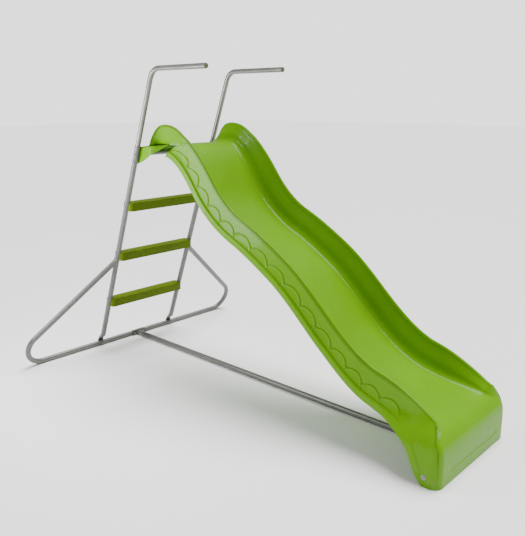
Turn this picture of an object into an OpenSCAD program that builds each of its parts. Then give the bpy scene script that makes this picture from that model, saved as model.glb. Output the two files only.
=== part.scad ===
// Garden wave slide: a two-sided tube frame with moulded treads, and a one-piece moulded chute.
// Millimetres. +X runs down the slide, +Y is the slider's left, +Z is up.
// The origin is on the ground, under the middle of the whole slide.

/* [Overall] */
// Height of the platform at the top of the chute
platform_height = 1343; // [1343:1:1500]
// Height of the handrails above the platform
handrail_rise = 407; // [350:1:500]
// Level distance from the crest of the chute to its front
chute_run = 1753; // [1450:1:2000]
// Distance between the middles of the two uprights
ladder_width = 578; // [560:1:700]
// Lean of the ladder from upright, in degrees
lean = 20.8; // [20:0.1:24]

/* [Tubes] */
// Outside of the frame tubes
tube_d = 32; // [28:0.5:36]
// Wall of every tube
tube_wall = 1.5; // [1.2:0.1:2]
// Slack all round between a tube and the one inside it
slip = 0.2; // [0.1:0.05:0.3]
// Outside of the two cross tubes
cross_d = 25.4; // [22:0.2:28]
// Radius of the bends that turn the outriggers onto the ground
ground_bend = 110; // [90:1:130]
// Radius of the bends where the outriggers leave the uprights
knee_bend = 56; // [48:1:56]
// Radius of the handrail bends, to the middle of the tube
rail_bend = 80; // [60:1:100]
// Level reach of the handrails from the top corner
rail_reach = 427; // [350:1:500]

/* [Frame] */
// Height at which the outriggers leave the uprights
knee_height = 619; // [520:1:619]
// Half the spread of the base, where the outrigger's line meets the base bar's
base_spread = 1005; // [900:1:1015]
// Length of the sleeve inside the base bar
joiner_length = 200; // [160:1:260]
// Depth of each handrail inside its side tube
rail_insert = 118; // [110:1:140]

/* [Treads] */
// Number of treads
treads = 3; // [3:1:3]
// Depth of a tread, front to back
tread_depth = 84; // [76:1:100]
// Thickness of a tread
tread_height = 53; // [44:1:60]
// How far a tread reaches past the middle of an upright
tread_wrap = 2; // [0:1:14]
// Wall of the hollow in a tread
tread_wall = 4; // [3:0.5:5]
// Radius of a tread's corners, seen from above
tread_corner = 26; // [18:1:34]
// Length of the solid end of a tread, inside the uprights
tread_end = 50; // [40:1:60]

/* [Chute] */
// Wall of the moulding
skin = 4.2; // [3.5:0.1:5]
// Height of the side walls above the bed
wall_height = 134; // [110:1:150]
// Height of the ears beside the platform
ear_height = 112; // [90:1:130]
// Half the width of the chute over its rims
rim_half = 266; // [250:1:272]
// Width of a rim
rim_width = 18; // [17:0.5:22]
// How far a side wall leans out between the bed and the rim
wall_lean = 44; // [30:1:60]
// How far the skirt stands out from the rim
skirt_flare = 15; // [8:1:20]
// How far the lip of the skirt stands out from the skirt
lip_step = 10; // [8:1:15]
// Half the width of the foot at the ground
foot_half = 330; // [318:1:340]
// Radius of the front corners of the foot, seen from above
foot_corner = 44; // [30:1:60]

/* [Fasteners] */
// Diameter of the large bolts
bolt_d = 8; // [8:1:8]
// Diameter of the small bolts
small_bolt_d = 6; // [6:1:6]
// Slack all round a bolt in its hole
hole_slack = 0.2; // [0.1:0.1:0.4]
// Gap left where two pieces meet face to face
seat = 0.2; // [0.1:0.1:0.3]

/* [Hidden] */
$fn = 48;

RIGHT = -1;
LEFT = 1;
SIDES = [RIGHT, LEFT];
GREEN = [0.52, 0.76, 0.13];
DARK_GREEN = [0.38, 0.56, 0.12];
STEEL = [0.60, 0.61, 0.60];
ZINC = [0.75, 0.76, 0.78];
BLACK = [0.12, 0.12, 0.12];

// The ladder leans about the base bar, whose middle is one tube radius above the ground.
base_z = tube_d / 2;
half = ladder_width / 2;
rail_d = tube_d - 2 * tube_wall - 2 * slip;
top_z = platform_height + handrail_rise;
function ladder_x(z) = tan(lean) * (z - base_z);
function along_ladder(z) = (z - base_z) / cos(lean);

// The crossbar and the lower head bolt sit below the platform.
crossbar_z = platform_height - 56;
crossbar_x = ladder_x(crossbar_z);
lower_head_bolt_z = crossbar_z - 40;
tread_rise = (platform_height - 50) / 4;
function tread_z(i) = tread_rise * i - 2;
side_tube_top = along_ladder(platform_height - 8);

// The crest and the front of the chute, and the cross tube on the pressed end of the ground bar.
crest_x = crossbar_x + 257;
front_x = crest_x + chute_run;
foot_tube_x = front_x - 68;
foot_tube_z = tube_d + cross_d / 2;
flat_end = 6;
insert_length = 30;

// Bolt and nut sizes follow the bolt's diameter.
function head_d(d) = 2 * d;
function head_h(d) = 0.55 * d;
function nut_d(d) = 1.85 * d;
function nut_h(d) = 0.8 * d;

// Everything is laid out from the base bar, then moved so that the origin is under the middle.
tab = 5;
tab_back = tube_d / 2 + seat;
rear_x = (tab_back + tab + head_h(small_bolt_d)) * cos(lean) + 0.31 * head_d(small_bolt_d) * sin(lean);
middle_x = (front_x - rear_x) / 2;
module placed() translate([-middle_x, 0, 0]) children();

// Chute stations. Each is [x, z, slope in degrees], and the course runs smoothly through them.
lip_x = crossbar_x - 31;
cheek_y = half - tube_d / 2 - seat;
function down(f, h, slope) = [crest_x + f * chute_run, h * platform_height, slope];
bed_stations = [
    [lip_x, crossbar_z - 6, 90],
    [lip_x, platform_height - 42, 90],
    [lip_x + 21, platform_height - 21, 8],
    down(0, 1, -3),
    down(0.051, 0.964, -46),
    down(0.137, 0.815, -53),
    down(0.291, 0.649, -24),
    down(0.434, 0.546, -32),
    down(0.628, 0.330, -40),
    down(0.787, 0.212, -14),
    down(0.953, 0.177, -10),
    down(0.987, 0.150, -52),
    down(0.999, 0.114, -86),
    down(1, 0, -90)
];
bed_steps = [2, 3, 9, 5, 7, 7, 5, 7, 6, 6, 4, 3, 3];

// The lower edge of the skirt, with one station for each bed station from SKIRT_START on.
SKIRT_START = 4;
edge_stations = [
    down(0.003, 0.958, -12),
    down(0.125, 0.819, -54),
    down(0.289, 0.649, -24),
    down(0.431, 0.545, -32),
    down(0.624, 0.331, -40),
    down(0.773, 0.197, -20),
    down(0.899, 0.121, -42),
    down(0.922, 0.072, -66),
    down(0.934, 0.036, -62),
    down(0.958, 0, -30)
];

// A smooth run between two stations: a cubic that leaves and arrives along their slopes.
function heading(s) = [cos(s[2]), sin(s[2])];
function place(s) = [s[0], s[1]];
function course(a, b, t) =
    let (
        reach = norm(place(b) - place(a)) / 3,
        p = place(a) + reach * heading(a),
        q = place(b) - reach * heading(b)
    )
    pow(1 - t, 3) * place(a) + 3 * t * pow(1 - t, 2) * p
    + 3 * t * t * (1 - t) * q + pow(t, 3) * place(b);
function course_way(a, b, t) =
    let (step = course(a, b, min(1, t + 0.01)) - course(a, b, max(0, t - 0.01))) step / norm(step);

// One row of the chute: [station before it, way from that station to the next].
rows = [
    for (s = [0 : len(bed_steps) - 1]) for (k = [0 : bed_steps[s] - 1]) [s, k / bed_steps[s]],
    [len(bed_steps) - 1, 1]
];
ear_start = lip_x + 123;
cheek_end = lip_x + 200;
rim_heights = [
    [ear_start, 0], [ear_start + 30, 0.42 * ear_height], [ear_start + 62, 0.76 * ear_height],
    [ear_start + 96, 0.95 * ear_height], [crest_x - 25, ear_height],
    [crest_x + 62, 0.94 * ear_height], [crest_x + 0.051 * chute_run, ear_height],
    [crest_x + 0.137 * chute_run, wall_height], [crest_x + 0.787 * chute_run, wall_height],
    [crest_x + 0.953 * chute_run, 0.37 * wall_height], [crest_x + 0.987 * chute_run, 0]
];
foot_widths = [
    [0, foot_half], [0.06, foot_half], [0.12, foot_half - 4], [0.15, foot_half - 14],
    [0.18, foot_half - 36], [0.215, rim_half]
];
cheek_depths = [[lip_x, 92], [lip_x + 78, 84], [lip_x + 118, 62], [lip_x + 165, 44], [cheek_end, 26]];
rim_widths = [[ear_start - 10, cheek_y], [ear_start + 70, rim_half]];

function bed_at(row) = course(bed_stations[row[0]], bed_stations[row[0] + 1], row[1]);
function bed_way(row) = course_way(bed_stations[row[0]], bed_stations[row[0] + 1], row[1]);
function rim_at(row) =
    let (b = bed_at(row), w = bed_way(row))
    b + lookup(b[0], rim_heights) * [-w[1], w[0]];
function is_skirt(row) = row[0] >= SKIRT_START;
function is_cheek(row) =
    let (x = bed_at(row)[0]) row[0] >= 2 && row[0] < SKIRT_START && x < cheek_end + 1;
function edge_at(row) =
    is_skirt(row)
        ? course(edge_stations[row[0] - SKIRT_START], edge_stations[row[0] - SKIRT_START + 1], row[1])
        : [bed_at(row)[0], bed_at(row)[1] - lookup(bed_at(row)[0], cheek_depths)];

// How much of a row belongs to the foot: 0 up the slide, 1 from the run-out to the front.
FOOT_START = 9;
function foot_share(row) = row[0] < FOOT_START ? 0 : row[0] == FOOT_START ? row[1] : 1;
function foot_width(z) = lookup(z / platform_height, foot_widths);
function mix(a, b, t) = a * (1 - t) + b * t;
function rim_y(row) =
    mix(lookup(bed_at(row)[0], rim_widths), foot_width(rim_at(row)[1]), foot_share(row));

// Half a cross-section, from the middle of the bed to the lower edge of the skirt.
// Inner columns are [inset from the rim, rise towards the rim]; outer ones are
// [step out from the rim, way down to the lower edge].
rise_columns = [
    [wall_lean + rim_width + 26, 0], [wall_lean + rim_width + 8, 0.035],
    [wall_lean + rim_width - 8, 0.17], [0.55 * wall_lean + rim_width, 0.45],
    [rim_width + 3, 0.82], [rim_width - 2, 0.95], [rim_width / 2, 1], [2, 0.965], [0, 0.90]
];
skirt_columns = [
    [0.45 * skirt_flare, 0.45], [skirt_flare, 0.74],
    [skirt_flare + lip_step, 0.80], [skirt_flare + lip_step, 1]
];
half_columns = 2 + len(rise_columns) + len(skirt_columns);
RIM_COLUMN = 1 + len(rise_columns);

function bed_point(row, y) = let (b = bed_at(row)) [b[0], y, b[1]];
function rise_point(row, c) =
    let (p = mix(bed_at(row), rim_at(row), c[1])) [p[0], rim_y(row) - c[0], p[1]];
function skirt_point(row, c) =
    let (
        p = mix(rim_at(row), edge_at(row), c[1]),
        out = is_skirt(row) ? c[0] : 0
    )
    [p[0], mix(rim_y(row) + out, foot_width(p[1]), foot_share(row)), p[1]];
function half_row(row) = [
    bed_point(row, 0),
    bed_point(row, 0.55 * (rim_y(row) - wall_lean)),
    for (c = rise_columns) rounded(rise_point(row, c)),
    for (c = skirt_columns) rounded(skirt_point(row, c))
];
// Points near the front corners of the foot are drawn in to a round corner.
function rounded(p) =
    let (
        dx = p[0] - (front_x - foot_corner),
        dy = p[1] - (foot_half - foot_corner),
        pull = dx > 0 && dy > 0 ? max(dx, dy) / norm([dx, dy]) : 1
    )
    pull < 1 ? [p[0] + (pull - 1) * dx, p[1] + (pull - 1) * dy, p[2]] : p;
function mirrored(p) = [p[0], -p[1], p[2]];
function full_row(row) =
    let (h = half_row(row))
    [for (j = [half_columns - 1 : -1 : 1]) mirrored(h[j]), for (j = [0 : half_columns - 1]) h[j]];

// A sheet of even thickness over a grid of points. has(i, j) says which cells exist.
function unit(v) = v / max(norm(v), 0.000001);
function sheet_normal(g, i, j) =
    let (
        along = g[min(i + 1, len(g) - 1)][j] - g[max(i - 1, 0)][j],
        across = g[i][min(j + 1, len(g[0]) - 1)] - g[i][max(j - 1, 0)]
    )
    unit(cross(along, across));

module sheet(g, thickness, has) {
    rows_n = len(g);
    cols_n = len(g[0]);
    used = function(i, j)
        i >= 0 && j >= 0 && i < rows_n - 1 && j < cols_n - 1 && has(i, j);
    touches = function(i, j)
        used(i, j) || used(i - 1, j) || used(i, j - 1) || used(i - 1, j - 1);
    upper = [for (i = [0 : rows_n - 1]) for (j = [0 : cols_n - 1]) g[i][j]];
    lower = [
        for (i = [0 : rows_n - 1]) for (j = [0 : cols_n - 1])
            g[i][j] - thickness * sheet_normal(g, i, j)
    ];
    n = rows_n * cols_n;
    at = function(i, j) i * cols_n + j;
    cells = [for (i = [0 : rows_n - 2]) for (j = [0 : cols_n - 2]) if (used(i, j)) [i, j]];
    faces = [
        for (c = cells) let (a = at(c[0], c[1]), b = at(c[0] + 1, c[1])) each [
            [a, a + 1, b + 1], [a, b + 1, b],
            [n + a, n + b + 1, n + a + 1], [n + a, n + b, n + b + 1]
        ],
        for (c = cells) let (i = c[0], j = c[1], a = at(i, j), b = at(i + 1, j)) each [
            if (!used(i - 1, j)) [a, n + a, n + a + 1, a + 1],
            if (!used(i + 1, j)) [b + 1, n + b + 1, n + b, b],
            if (!used(i, j - 1)) [b, n + b, n + a, a],
            if (!used(i, j + 1)) [a + 1, n + a + 1, n + b + 1, b + 1]
        ]
    ];
    polyhedron(points = concat(upper, lower), faces = faces, convexity = 12);
}

// A column of the full row lies on the skirt when it is outside the rims.
function on_skirt(j) = j < half_columns - 1 - RIM_COLUMN || j >= half_columns - 1 + RIM_COLUMN;
module moulding() {
    grid = [for (row = rows) full_row(row)];
    hangs = function(i)
        (is_skirt(rows[i]) || is_cheek(rows[i])) && (is_skirt(rows[i + 1]) || is_cheek(rows[i + 1]))
        && !(is_cheek(rows[i]) && is_skirt(rows[i + 1]));
    sheet(grid, skin, function(i, j) on_skirt(j) ? hangs(i) : true);
}

// Plain hole along Y through the skirts or cheeks of both sides.
module cross_hole(x, z, d) translate([x, 0, z]) rotate([90, 0, 0])
    cylinder(h = 4 * half, d = d, center = true, $fn = 24);

module chute() placed() color(GREEN) resize([0, 0, 0]) difference() {
    moulding();
    translate([0, -2 * half, -20]) cube([2 * front_x, 4 * half, 20]);
    cross_hole(crossbar_x, crossbar_z, bolt_d + 2 * hole_slack);
    cross_hole(ladder_x(lower_head_bolt_z), lower_head_bolt_z, bolt_d + 2 * hole_slack);
    cross_hole(foot_tube_x, foot_tube_z, bolt_d + 2 * hole_slack);
}

// A straight hollow tube along +Z.
module pipe(length, d) difference() {
    cylinder(h = length, d = d);
    translate([0, 0, -1]) cylinder(h = length + 2, d = d - 2 * tube_wall);
}

// The course of a bent tube that starts along +X in the XY plane, as [middle, bearing] stations.
// steps is [length, turn in degrees, length, ...], and bends has a radius for each turn.
function tube_course(steps, bends, k = 0, p = [0, 0], b = 0) =
    let (q = p + steps[k] * [cos(b), sin(b)])
    k + 2 >= len(steps) ? [[p, b], [q, b]] :
    let (
        turn = steps[k + 1],
        bend = bends[k / 2],
        side = sign(turn),
        n = ceil(abs(turn) / 10),
        centre = q + side * bend * [-sin(b), cos(b)],
        from_centre = function(a) centre + side * bend * [sin(a), -cos(a)]
    )
    concat(
        [[p, b]],
        [for (i = [0 : n - 1]) let (a = b + turn * i / n) [from_centre(a), a]],
        tube_course(steps, bends, k + 2, from_centre(b + turn), b + turn)
    );

// A tube along such a course; bore = 0 leaves it solid.
TUBE_SIDES = 32;
module bent_tube(stations, d, bore) {
    m = TUBE_SIDES;
    rings = len(stations);
    ring = function(s, dia) [for (k = [0 : m - 1])
        let (u = dia / 2 * cos(360 * k / m), v = dia / 2 * sin(360 * k / m))
        [s[0].x - u * sin(s[1]), s[0].y + u * cos(s[1]), v]];
    outer = [for (s = stations) each ring(s, d)];
    inner = bore > 0 ? [for (s = stations) each ring(s, bore)] : [];
    at = function(i, k) i * m + k % m;
    n = rings * m;
    last = rings - 1;
    polyhedron(points = concat(outer, inner), convexity = 10, faces = [
        for (i = [0 : rings - 2]) for (k = [0 : m - 1])
            [at(i, k), at(i + 1, k), at(i + 1, k + 1), at(i, k + 1)],
        if (bore > 0) for (i = [0 : rings - 2]) for (k = [0 : m - 1])
            [n + at(i, k), n + at(i, k + 1), n + at(i + 1, k + 1), n + at(i + 1, k)],
        if (bore > 0) for (k = [0 : m - 1]) each [
            [at(0, k), at(0, k + 1), n + at(0, k + 1), n + at(0, k)],
            [at(last, k + 1), at(last, k), n + at(last, k), n + at(last, k + 1)]
        ],
        if (!(bore > 0)) each [[for (k = [0 : m - 1]) k], [for (k = [m - 1 : -1 : 0]) at(last, k)]]
    ]);
}

// Stands the XY plane up in the ladder's plane: X becomes across, Y becomes up the ladder.
module in_ladder_plane() translate([0, 0, base_z]) rotate([0, lean, 0]) rotate([90, 0, 90]) children();

knee = along_ladder(knee_height);
spread = atan2(knee, base_spread - half);
knee_turn = 90 - spread;
knee_cut = knee_bend * tan(knee_turn / 2);
ground_cut = ground_bend * tan((180 - spread) / 2);
outrigger = norm([knee, base_spread - half]) - knee_cut - ground_cut;
module side_run(side, d, bore)
    in_ladder_plane() translate([side * half, side_tube_top, 0]) rotate([0, 0, -90])
        bent_tube(tube_course([
            side_tube_top - knee - knee_cut, side * knee_turn, outrigger,
            side * (spread - 180), base_spread - ground_cut - 0.1
        ], [knee_bend, ground_bend]), d, bore);

// Holes along X through the base bar, and along Y through an upright.
saddle_bolt_y = 33;
module x_bolt_room(y, z, d, length) translate([-length / 2, y, z]) rotate([0, 90, 0])
    cylinder(h = length, d = d, $fn = 24);
module side_tube(side) placed() color(STEEL) resize([0, 0, 0]) difference() {
    side_run(side, tube_d, tube_d - 2 * tube_wall);
    x_bolt_room(side * saddle_bolt_y, base_z, small_bolt_d + 2 * hole_slack, 2 * tube_d);
    translate([0, side * half, base_z]) rotate([0, lean + 90, 0])
        cylinder(h = 3 * tube_d, d = small_bolt_d + 2 * hole_slack, center = true, $fn = 24);
    upright_holes(side, [tread_z(2), tread_z(3), crossbar_z, lower_head_bolt_z]);
}
module upright_holes(side, heights) for (z = heights)
    translate([ladder_x(z), side * half, z]) rotate([90, 0, 0])
        cylinder(h = 2 * tube_d, d = bolt_d + 2 * hole_slack, center = true, $fn = 24);

module right_side_tube() side_tube(RIGHT);
module left_side_tube() side_tube(LEFT);

// The leg stands on the base bar with a pressed foot, and is coped to the bend above it.
foot_press = 72;
module leg(side) placed() color(STEEL) resize([0, 0, 0]) difference() {
    translate([0, 0, base_z]) rotate([0, lean, 0]) translate([0, side * half, 0]) {
        translate([0, 0, foot_press]) pipe(knee + 10 - foot_press, tube_d);
        hull() {
            translate([0, 0, foot_press - 1]) cylinder(h = 1, d = tube_d, $fn = 32);
            translate([0, 0, tube_d / 2 - 4]) cylinder(h = 1, d = tube_d, $fn = 32);
            translate([-tab_back - tab, -20, -10]) cube([tab, 40, 24]);
        }
    }
    side_run(side, tube_d + 2 * seat, 0);
    translate([0, side * half, base_z]) rotate([0, lean + 90, 0])
        cylinder(h = 4 * tube_d, d = small_bolt_d + 2 * hole_slack, center = true, $fn = 24);
    upright_holes(side, [tread_z(1)]);
}

module right_leg() leg(RIGHT);
module left_leg() leg(LEFT);

// The handrail slides into the side tube and turns level at the top.
rail_foot = side_tube_top - rail_insert;
rail_cut = rail_bend * tan((90 - lean) / 2);
module handrail(side) placed() color(STEEL) resize([0, 0, 0]) difference() {
    in_ladder_plane() translate([side * half, rail_foot, 0]) rotate([90, 0, 90]) bent_tube(
        tube_course([
            along_ladder(top_z) - rail_foot - rail_cut, 90 - lean, rail_reach - rail_cut
        ], [rail_bend]), rail_d, rail_d - 2 * tube_wall);
    upright_holes(side, [crossbar_z, lower_head_bolt_z]);
}

module right_handrail() handrail(RIGHT);
module left_handrail() handrail(LEFT);

// A domed cap with a stem that grips inside the handrail's end.
module handrail_plugs() placed() color(BLACK) for (side = SIDES)
    translate([ladder_x(top_z) + rail_reach, side * half, top_z]) rotate([0, 90, 0]) rotate_extrude() {
        translate([0, -18]) square([rail_d / 2 - tube_wall - 0.05, 18]);
        square([rail_d / 2, 2]);
        intersection() {
            translate([0, 2 + 4 - 28.2]) circle(r = 28.2);
            translate([0, 2]) square([rail_d / 2, 5]);
        }
    }

module top_crossbar() placed() color(STEEL)
    translate([crossbar_x, crossbar_half, crossbar_z]) rotate([90, 0, 0]) pipe(2 * crossbar_half, cross_d);
crossbar_half = cheek_y - skin - seat;

// Threaded inserts close the ends of a cross tube.
module inserts(x, z, end) placed() color(ZINC) for (side = SIDES)
    translate([x, side * end, z]) rotate([side * 90, 0, 0]) difference() {
        cylinder(h = insert_length, d = cross_d - 2 * tube_wall - 0.1);
        translate([0, 0, -1]) cylinder(h = insert_length + 2, d = bolt_d + 0.1);
    }
module crossbar_inserts() inserts(crossbar_x, crossbar_z, crossbar_half);

// A rounded bar between the uprights, hollow from below, with ends that clip round the tubes.
edge_r = 9;
module rounded_rectangle(w, h, r) {
    square([w - 2 * r, h], center = true);
    square([w, h - 2 * r], center = true);
    for (x = [-1, 1]) for (y = [-1, 1])
        translate([x * (w / 2 - r), y * (h / 2 - r)]) circle(r = r);
}
tread_half = half + tread_wrap;
hollow_half = half - tube_d / 2 - tread_end;
module tread(i) placed() color(DARK_GREEN) translate([ladder_x(tread_z(i)), 0, tread_z(i)]) difference() {
    intersection() {
        rotate([90, 0, 0]) linear_extrude(height = 2 * tread_half, center = true)
            rounded_rectangle(tread_depth, tread_height, edge_r);
        linear_extrude(height = 2 * tread_height, center = true)
            rounded_rectangle(tread_depth, 2 * tread_half, tread_corner);
    }
    bays = 4;
    bay = (2 * hollow_half - (bays - 1) * tread_wall) / bays;
    for (k = [0 : bays - 1])
        translate([tread_wall - tread_depth / 2, k * (bay + tread_wall) - hollow_half, -tread_height / 2 - 1])
            cube([tread_depth - 2 * tread_wall, bay, tread_height - tread_wall + 1]);
    for (side = SIDES) translate([0, side * half, 0]) rotate([0, lean, 0]) {
        cylinder(h = 3 * tread_height, d = tube_d + 2 * seat, center = true);
        // The bend of the outrigger leaves the second tread through the end of its notch.
        if (i == 2) translate([-tube_d / 2 - seat, side > 0 ? 0 : -tube_d, -2 * tread_height])
            cube([tube_d + 2 * seat, tube_d, 2 * tread_height]);
    }
    rotate([90, 0, 0]) cylinder(h = 3 * half, d = bolt_d + 2 * hole_slack, center = true);
}

module tread_1() tread(1);
module tread_2() tread(2);
module tread_3() tread(3);

// A button-head bolt along +Z with its head below z = 0, and a hexagon nut standing on z = 0.
module bolt(d, length) {
    translate([0, 0, -head_h(d)]) cylinder(h = head_h(d), d1 = head_d(d) * 0.62, d2 = head_d(d));
    cylinder(h = length, d = d);
}
module nut(d) difference() {
    cylinder(h = nut_h(d), d = nut_d(d), $fn = 6);
    translate([0, 0, -1]) cylinder(h = nut_h(d) + 2, d = d + 0.1);
}
// Puts a fastener at the outer face of an upright, pointing inwards.
module at_upright(side, z) translate([ladder_x(z), side * (half + tube_d / 2 + seat), z])
    rotate([side * 90, 0, 0]) children();

module tread_bolts() placed() color(ZINC) for (side = SIDES) for (i = [1 : treads])
    at_upright(side, tread_z(i)) bolt(bolt_d, tube_d + tread_end + 12);
module tread_nuts() placed() color(ZINC) for (side = SIDES) for (i = [1 : treads])
    at_upright(side, tread_z(i)) translate([0, 0, tube_d + tread_end + seat]) nut(bolt_d);

// The upper head bolts run into the crossbar, and the lower ones take a nut behind the cheek.
module head_bolts() placed() color(ZINC) for (side = SIDES) {
    at_upright(side, crossbar_z) bolt(bolt_d, tube_d + skin + 26);
    at_upright(side, lower_head_bolt_z) bolt(bolt_d, tube_d + skin + 12);
}
module head_nuts() placed() color(ZINC) for (side = SIDES)
    at_upright(side, lower_head_bolt_z) translate([0, 0, tube_d + skin + 3 * seat]) nut(bolt_d);

// The base bar: a sleeve inside, and a saddle in front with a spigot for the ground bar.
module base_joiner() placed() color(STEEL) difference() {
    translate([0, joiner_length / 2, base_z]) rotate([90, 0, 0]) pipe(joiner_length, rail_d);
    for (side = SIDES) x_bolt_room(side * saddle_bolt_y, base_z, small_bolt_d + 2 * hole_slack, 2 * tube_d);
}
saddle_front = tube_d / 2 + 6;
spigot_length = 70;
module base_saddle() placed() color(STEEL) difference() {
    union() {
        translate([2, -46, 2]) cube([saddle_front - 2, 92, tube_d + 2]);
        translate([saddle_front - 1, 0, base_z]) rotate([0, 90, 0])
            cylinder(h = spigot_length + 1, d = rail_d);
    }
    translate([0, 0, base_z]) rotate([90, 0, 0]) cylinder(h = 200, d = tube_d + 2 * seat, center = true);
    for (side = SIDES) x_bolt_room(side * saddle_bolt_y, base_z, small_bolt_d + 2 * hole_slack, 2 * tube_d);
    spigot_hole();
}
spigot_bolt_x = saddle_front + spigot_length / 2;
module spigot_hole() translate([spigot_bolt_x, 0, base_z]) rotate([90, 0, 0])
    cylinder(h = 2 * tube_d, d = small_bolt_d + 2 * hole_slack, center = true);

// The ground bar runs from the saddle to the foot, where its end is pressed flat.
bar_end = foot_tube_x - 50;
module ground_bar() placed() color(STEEL) difference() {
    union() {
        translate([saddle_front + seat, 0, base_z]) rotate([0, 90, 0])
            pipe(bar_end - saddle_front - seat, tube_d);
        hull() {
            translate([bar_end, 0, base_z]) rotate([0, 90, 0]) cylinder(h = 1, d = tube_d, $fn = 32);
            translate([foot_tube_x - 22, -23, tube_d - flat_end]) cube([1, 46, flat_end]);
        }
        translate([foot_tube_x - 22, -23, tube_d - flat_end]) cube([42, 46, flat_end]);
    }
    spigot_hole();
    translate([foot_tube_x, 0, 0]) cylinder(h = 2 * tube_d, d = bolt_d + 2 * hole_slack);
}
foot_tube_half = foot_half - skin - seat;
module foot_cross_tube() placed() color(STEEL) difference() {
    translate([foot_tube_x, foot_tube_half, foot_tube_z]) rotate([90, 0, 0])
        pipe(2 * foot_tube_half, cross_d);
    translate([foot_tube_x, 0, 0]) cylinder(h = 4 * tube_d, d = bolt_d + 2 * hole_slack);
}
module foot_inserts() inserts(foot_tube_x, foot_tube_z, foot_tube_half);

module leg_foot_bolts() placed() color(ZINC) for (side = SIDES)
    translate([0, side * half, base_z]) rotate([0, lean + 90, 0]) translate([0, 0, -tab_back - tab])
        bolt(small_bolt_d, 2 * tab_back + tab + 10);
module leg_foot_nuts() placed() color(ZINC) for (side = SIDES)
    translate([0, side * half, base_z]) rotate([0, lean + 90, 0]) translate([0, 0, tube_d / 2])
        nut(small_bolt_d);
module saddle_bolts() placed() color(ZINC) for (side = SIDES)
    translate([-tube_d / 2, side * saddle_bolt_y, base_z]) rotate([0, 90, 0])
        bolt(small_bolt_d, tube_d / 2 + saddle_front + 8);
module saddle_nuts() placed() color(ZINC) for (side = SIDES)
    translate([saddle_front, side * saddle_bolt_y, base_z]) rotate([0, 90, 0]) nut(small_bolt_d);
module ground_bar_bolt() placed() color(ZINC)
    translate([spigot_bolt_x, -tube_d / 2, base_z]) rotate([-90, 0, 0]) bolt(small_bolt_d, tube_d + 8);
module ground_bar_nut() placed() color(ZINC)
    translate([spigot_bolt_x, tube_d / 2, base_z]) rotate([-90, 0, 0]) nut(small_bolt_d);

washer_h = 2;
module foot_side_bolts() placed() color(ZINC) for (side = SIDES)
    translate([foot_tube_x, side * (foot_half + washer_h + seat), foot_tube_z]) rotate([side * 90, 0, 0])
        bolt(bolt_d, skin + washer_h + 28);
module foot_side_washers() placed() color(ZINC) for (side = SIDES)
    translate([foot_tube_x, side * (foot_half + seat / 2), foot_tube_z]) rotate([-side * 90, 0, 0])
        difference() {
            cylinder(h = washer_h, d = 24);
            translate([0, 0, -1]) cylinder(h = washer_h + 2, d = bolt_d + 2 * hole_slack);
        }
module foot_clamp_bolt() placed() color(ZINC) translate([foot_tube_x, 0, tube_d + cross_d])
    rotate([180, 0, 0]) bolt(bolt_d, cross_d + flat_end + 9);
module foot_clamp_nut() placed() color(ZINC) translate([foot_tube_x, 0, tube_d - flat_end])
    rotate([180, 0, 0]) nut(bolt_d);

chute();
right_side_tube();
left_side_tube();
right_leg();
left_leg();
right_handrail();
left_handrail();
handrail_plugs();
top_crossbar();
crossbar_inserts();
tread_1();
tread_2();
tread_3();
base_joiner();
base_saddle();
ground_bar();
foot_cross_tube();
foot_inserts();
tread_bolts();
tread_nuts();
head_bolts();
head_nuts();
leg_foot_bolts();
leg_foot_nuts();
saddle_bolts();
saddle_nuts();
ground_bar_bolt();
ground_bar_nut();
foot_side_bolts();
foot_side_washers();
foot_clamp_bolt();
foot_clamp_nut();
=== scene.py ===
"""Garden wave slide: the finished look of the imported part, laid out as an add-on.

Sizes are in metres. X is measured from the base bar in the build functions and moved into the
row frame when an object is made, so every piece stands where its CAD node stands.
"""

import math

import bpy
import numpy as np
from mathutils import Matrix, Vector


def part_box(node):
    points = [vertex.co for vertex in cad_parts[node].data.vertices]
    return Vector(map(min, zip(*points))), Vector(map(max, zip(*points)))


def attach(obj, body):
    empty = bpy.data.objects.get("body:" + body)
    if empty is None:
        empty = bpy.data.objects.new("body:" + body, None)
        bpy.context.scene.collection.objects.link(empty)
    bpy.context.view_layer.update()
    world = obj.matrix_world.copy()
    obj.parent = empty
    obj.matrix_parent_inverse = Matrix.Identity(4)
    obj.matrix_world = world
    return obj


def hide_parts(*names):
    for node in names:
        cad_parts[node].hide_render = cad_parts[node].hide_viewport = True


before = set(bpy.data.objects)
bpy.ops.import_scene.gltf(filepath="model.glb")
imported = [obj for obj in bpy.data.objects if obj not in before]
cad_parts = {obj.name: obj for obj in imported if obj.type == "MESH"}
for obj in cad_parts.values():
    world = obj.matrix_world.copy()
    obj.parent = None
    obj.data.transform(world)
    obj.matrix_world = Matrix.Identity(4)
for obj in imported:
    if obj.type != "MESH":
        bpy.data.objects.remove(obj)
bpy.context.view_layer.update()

bl_info = {
    "name": "Wave slide",
    "version": (1, 0, 0),
    "blender": (4, 5, 0),
    "location": "View3D > Sidebar > Slide",
    "description": "Builds the detailed model and materials of a moulded garden wave slide",
    "category": "Object",
}

RIGHT, LEFT = -1, 1
SIDES = (RIGHT, LEFT)
SIDE_NAMES = {RIGHT: "right", LEFT: "left"}
JOINER_LOW, JOINER_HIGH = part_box("base_joiner")
BASE_X = (JOINER_LOW.x + JOINER_HIGH.x) / 2
DETAIL = 1.0

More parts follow.
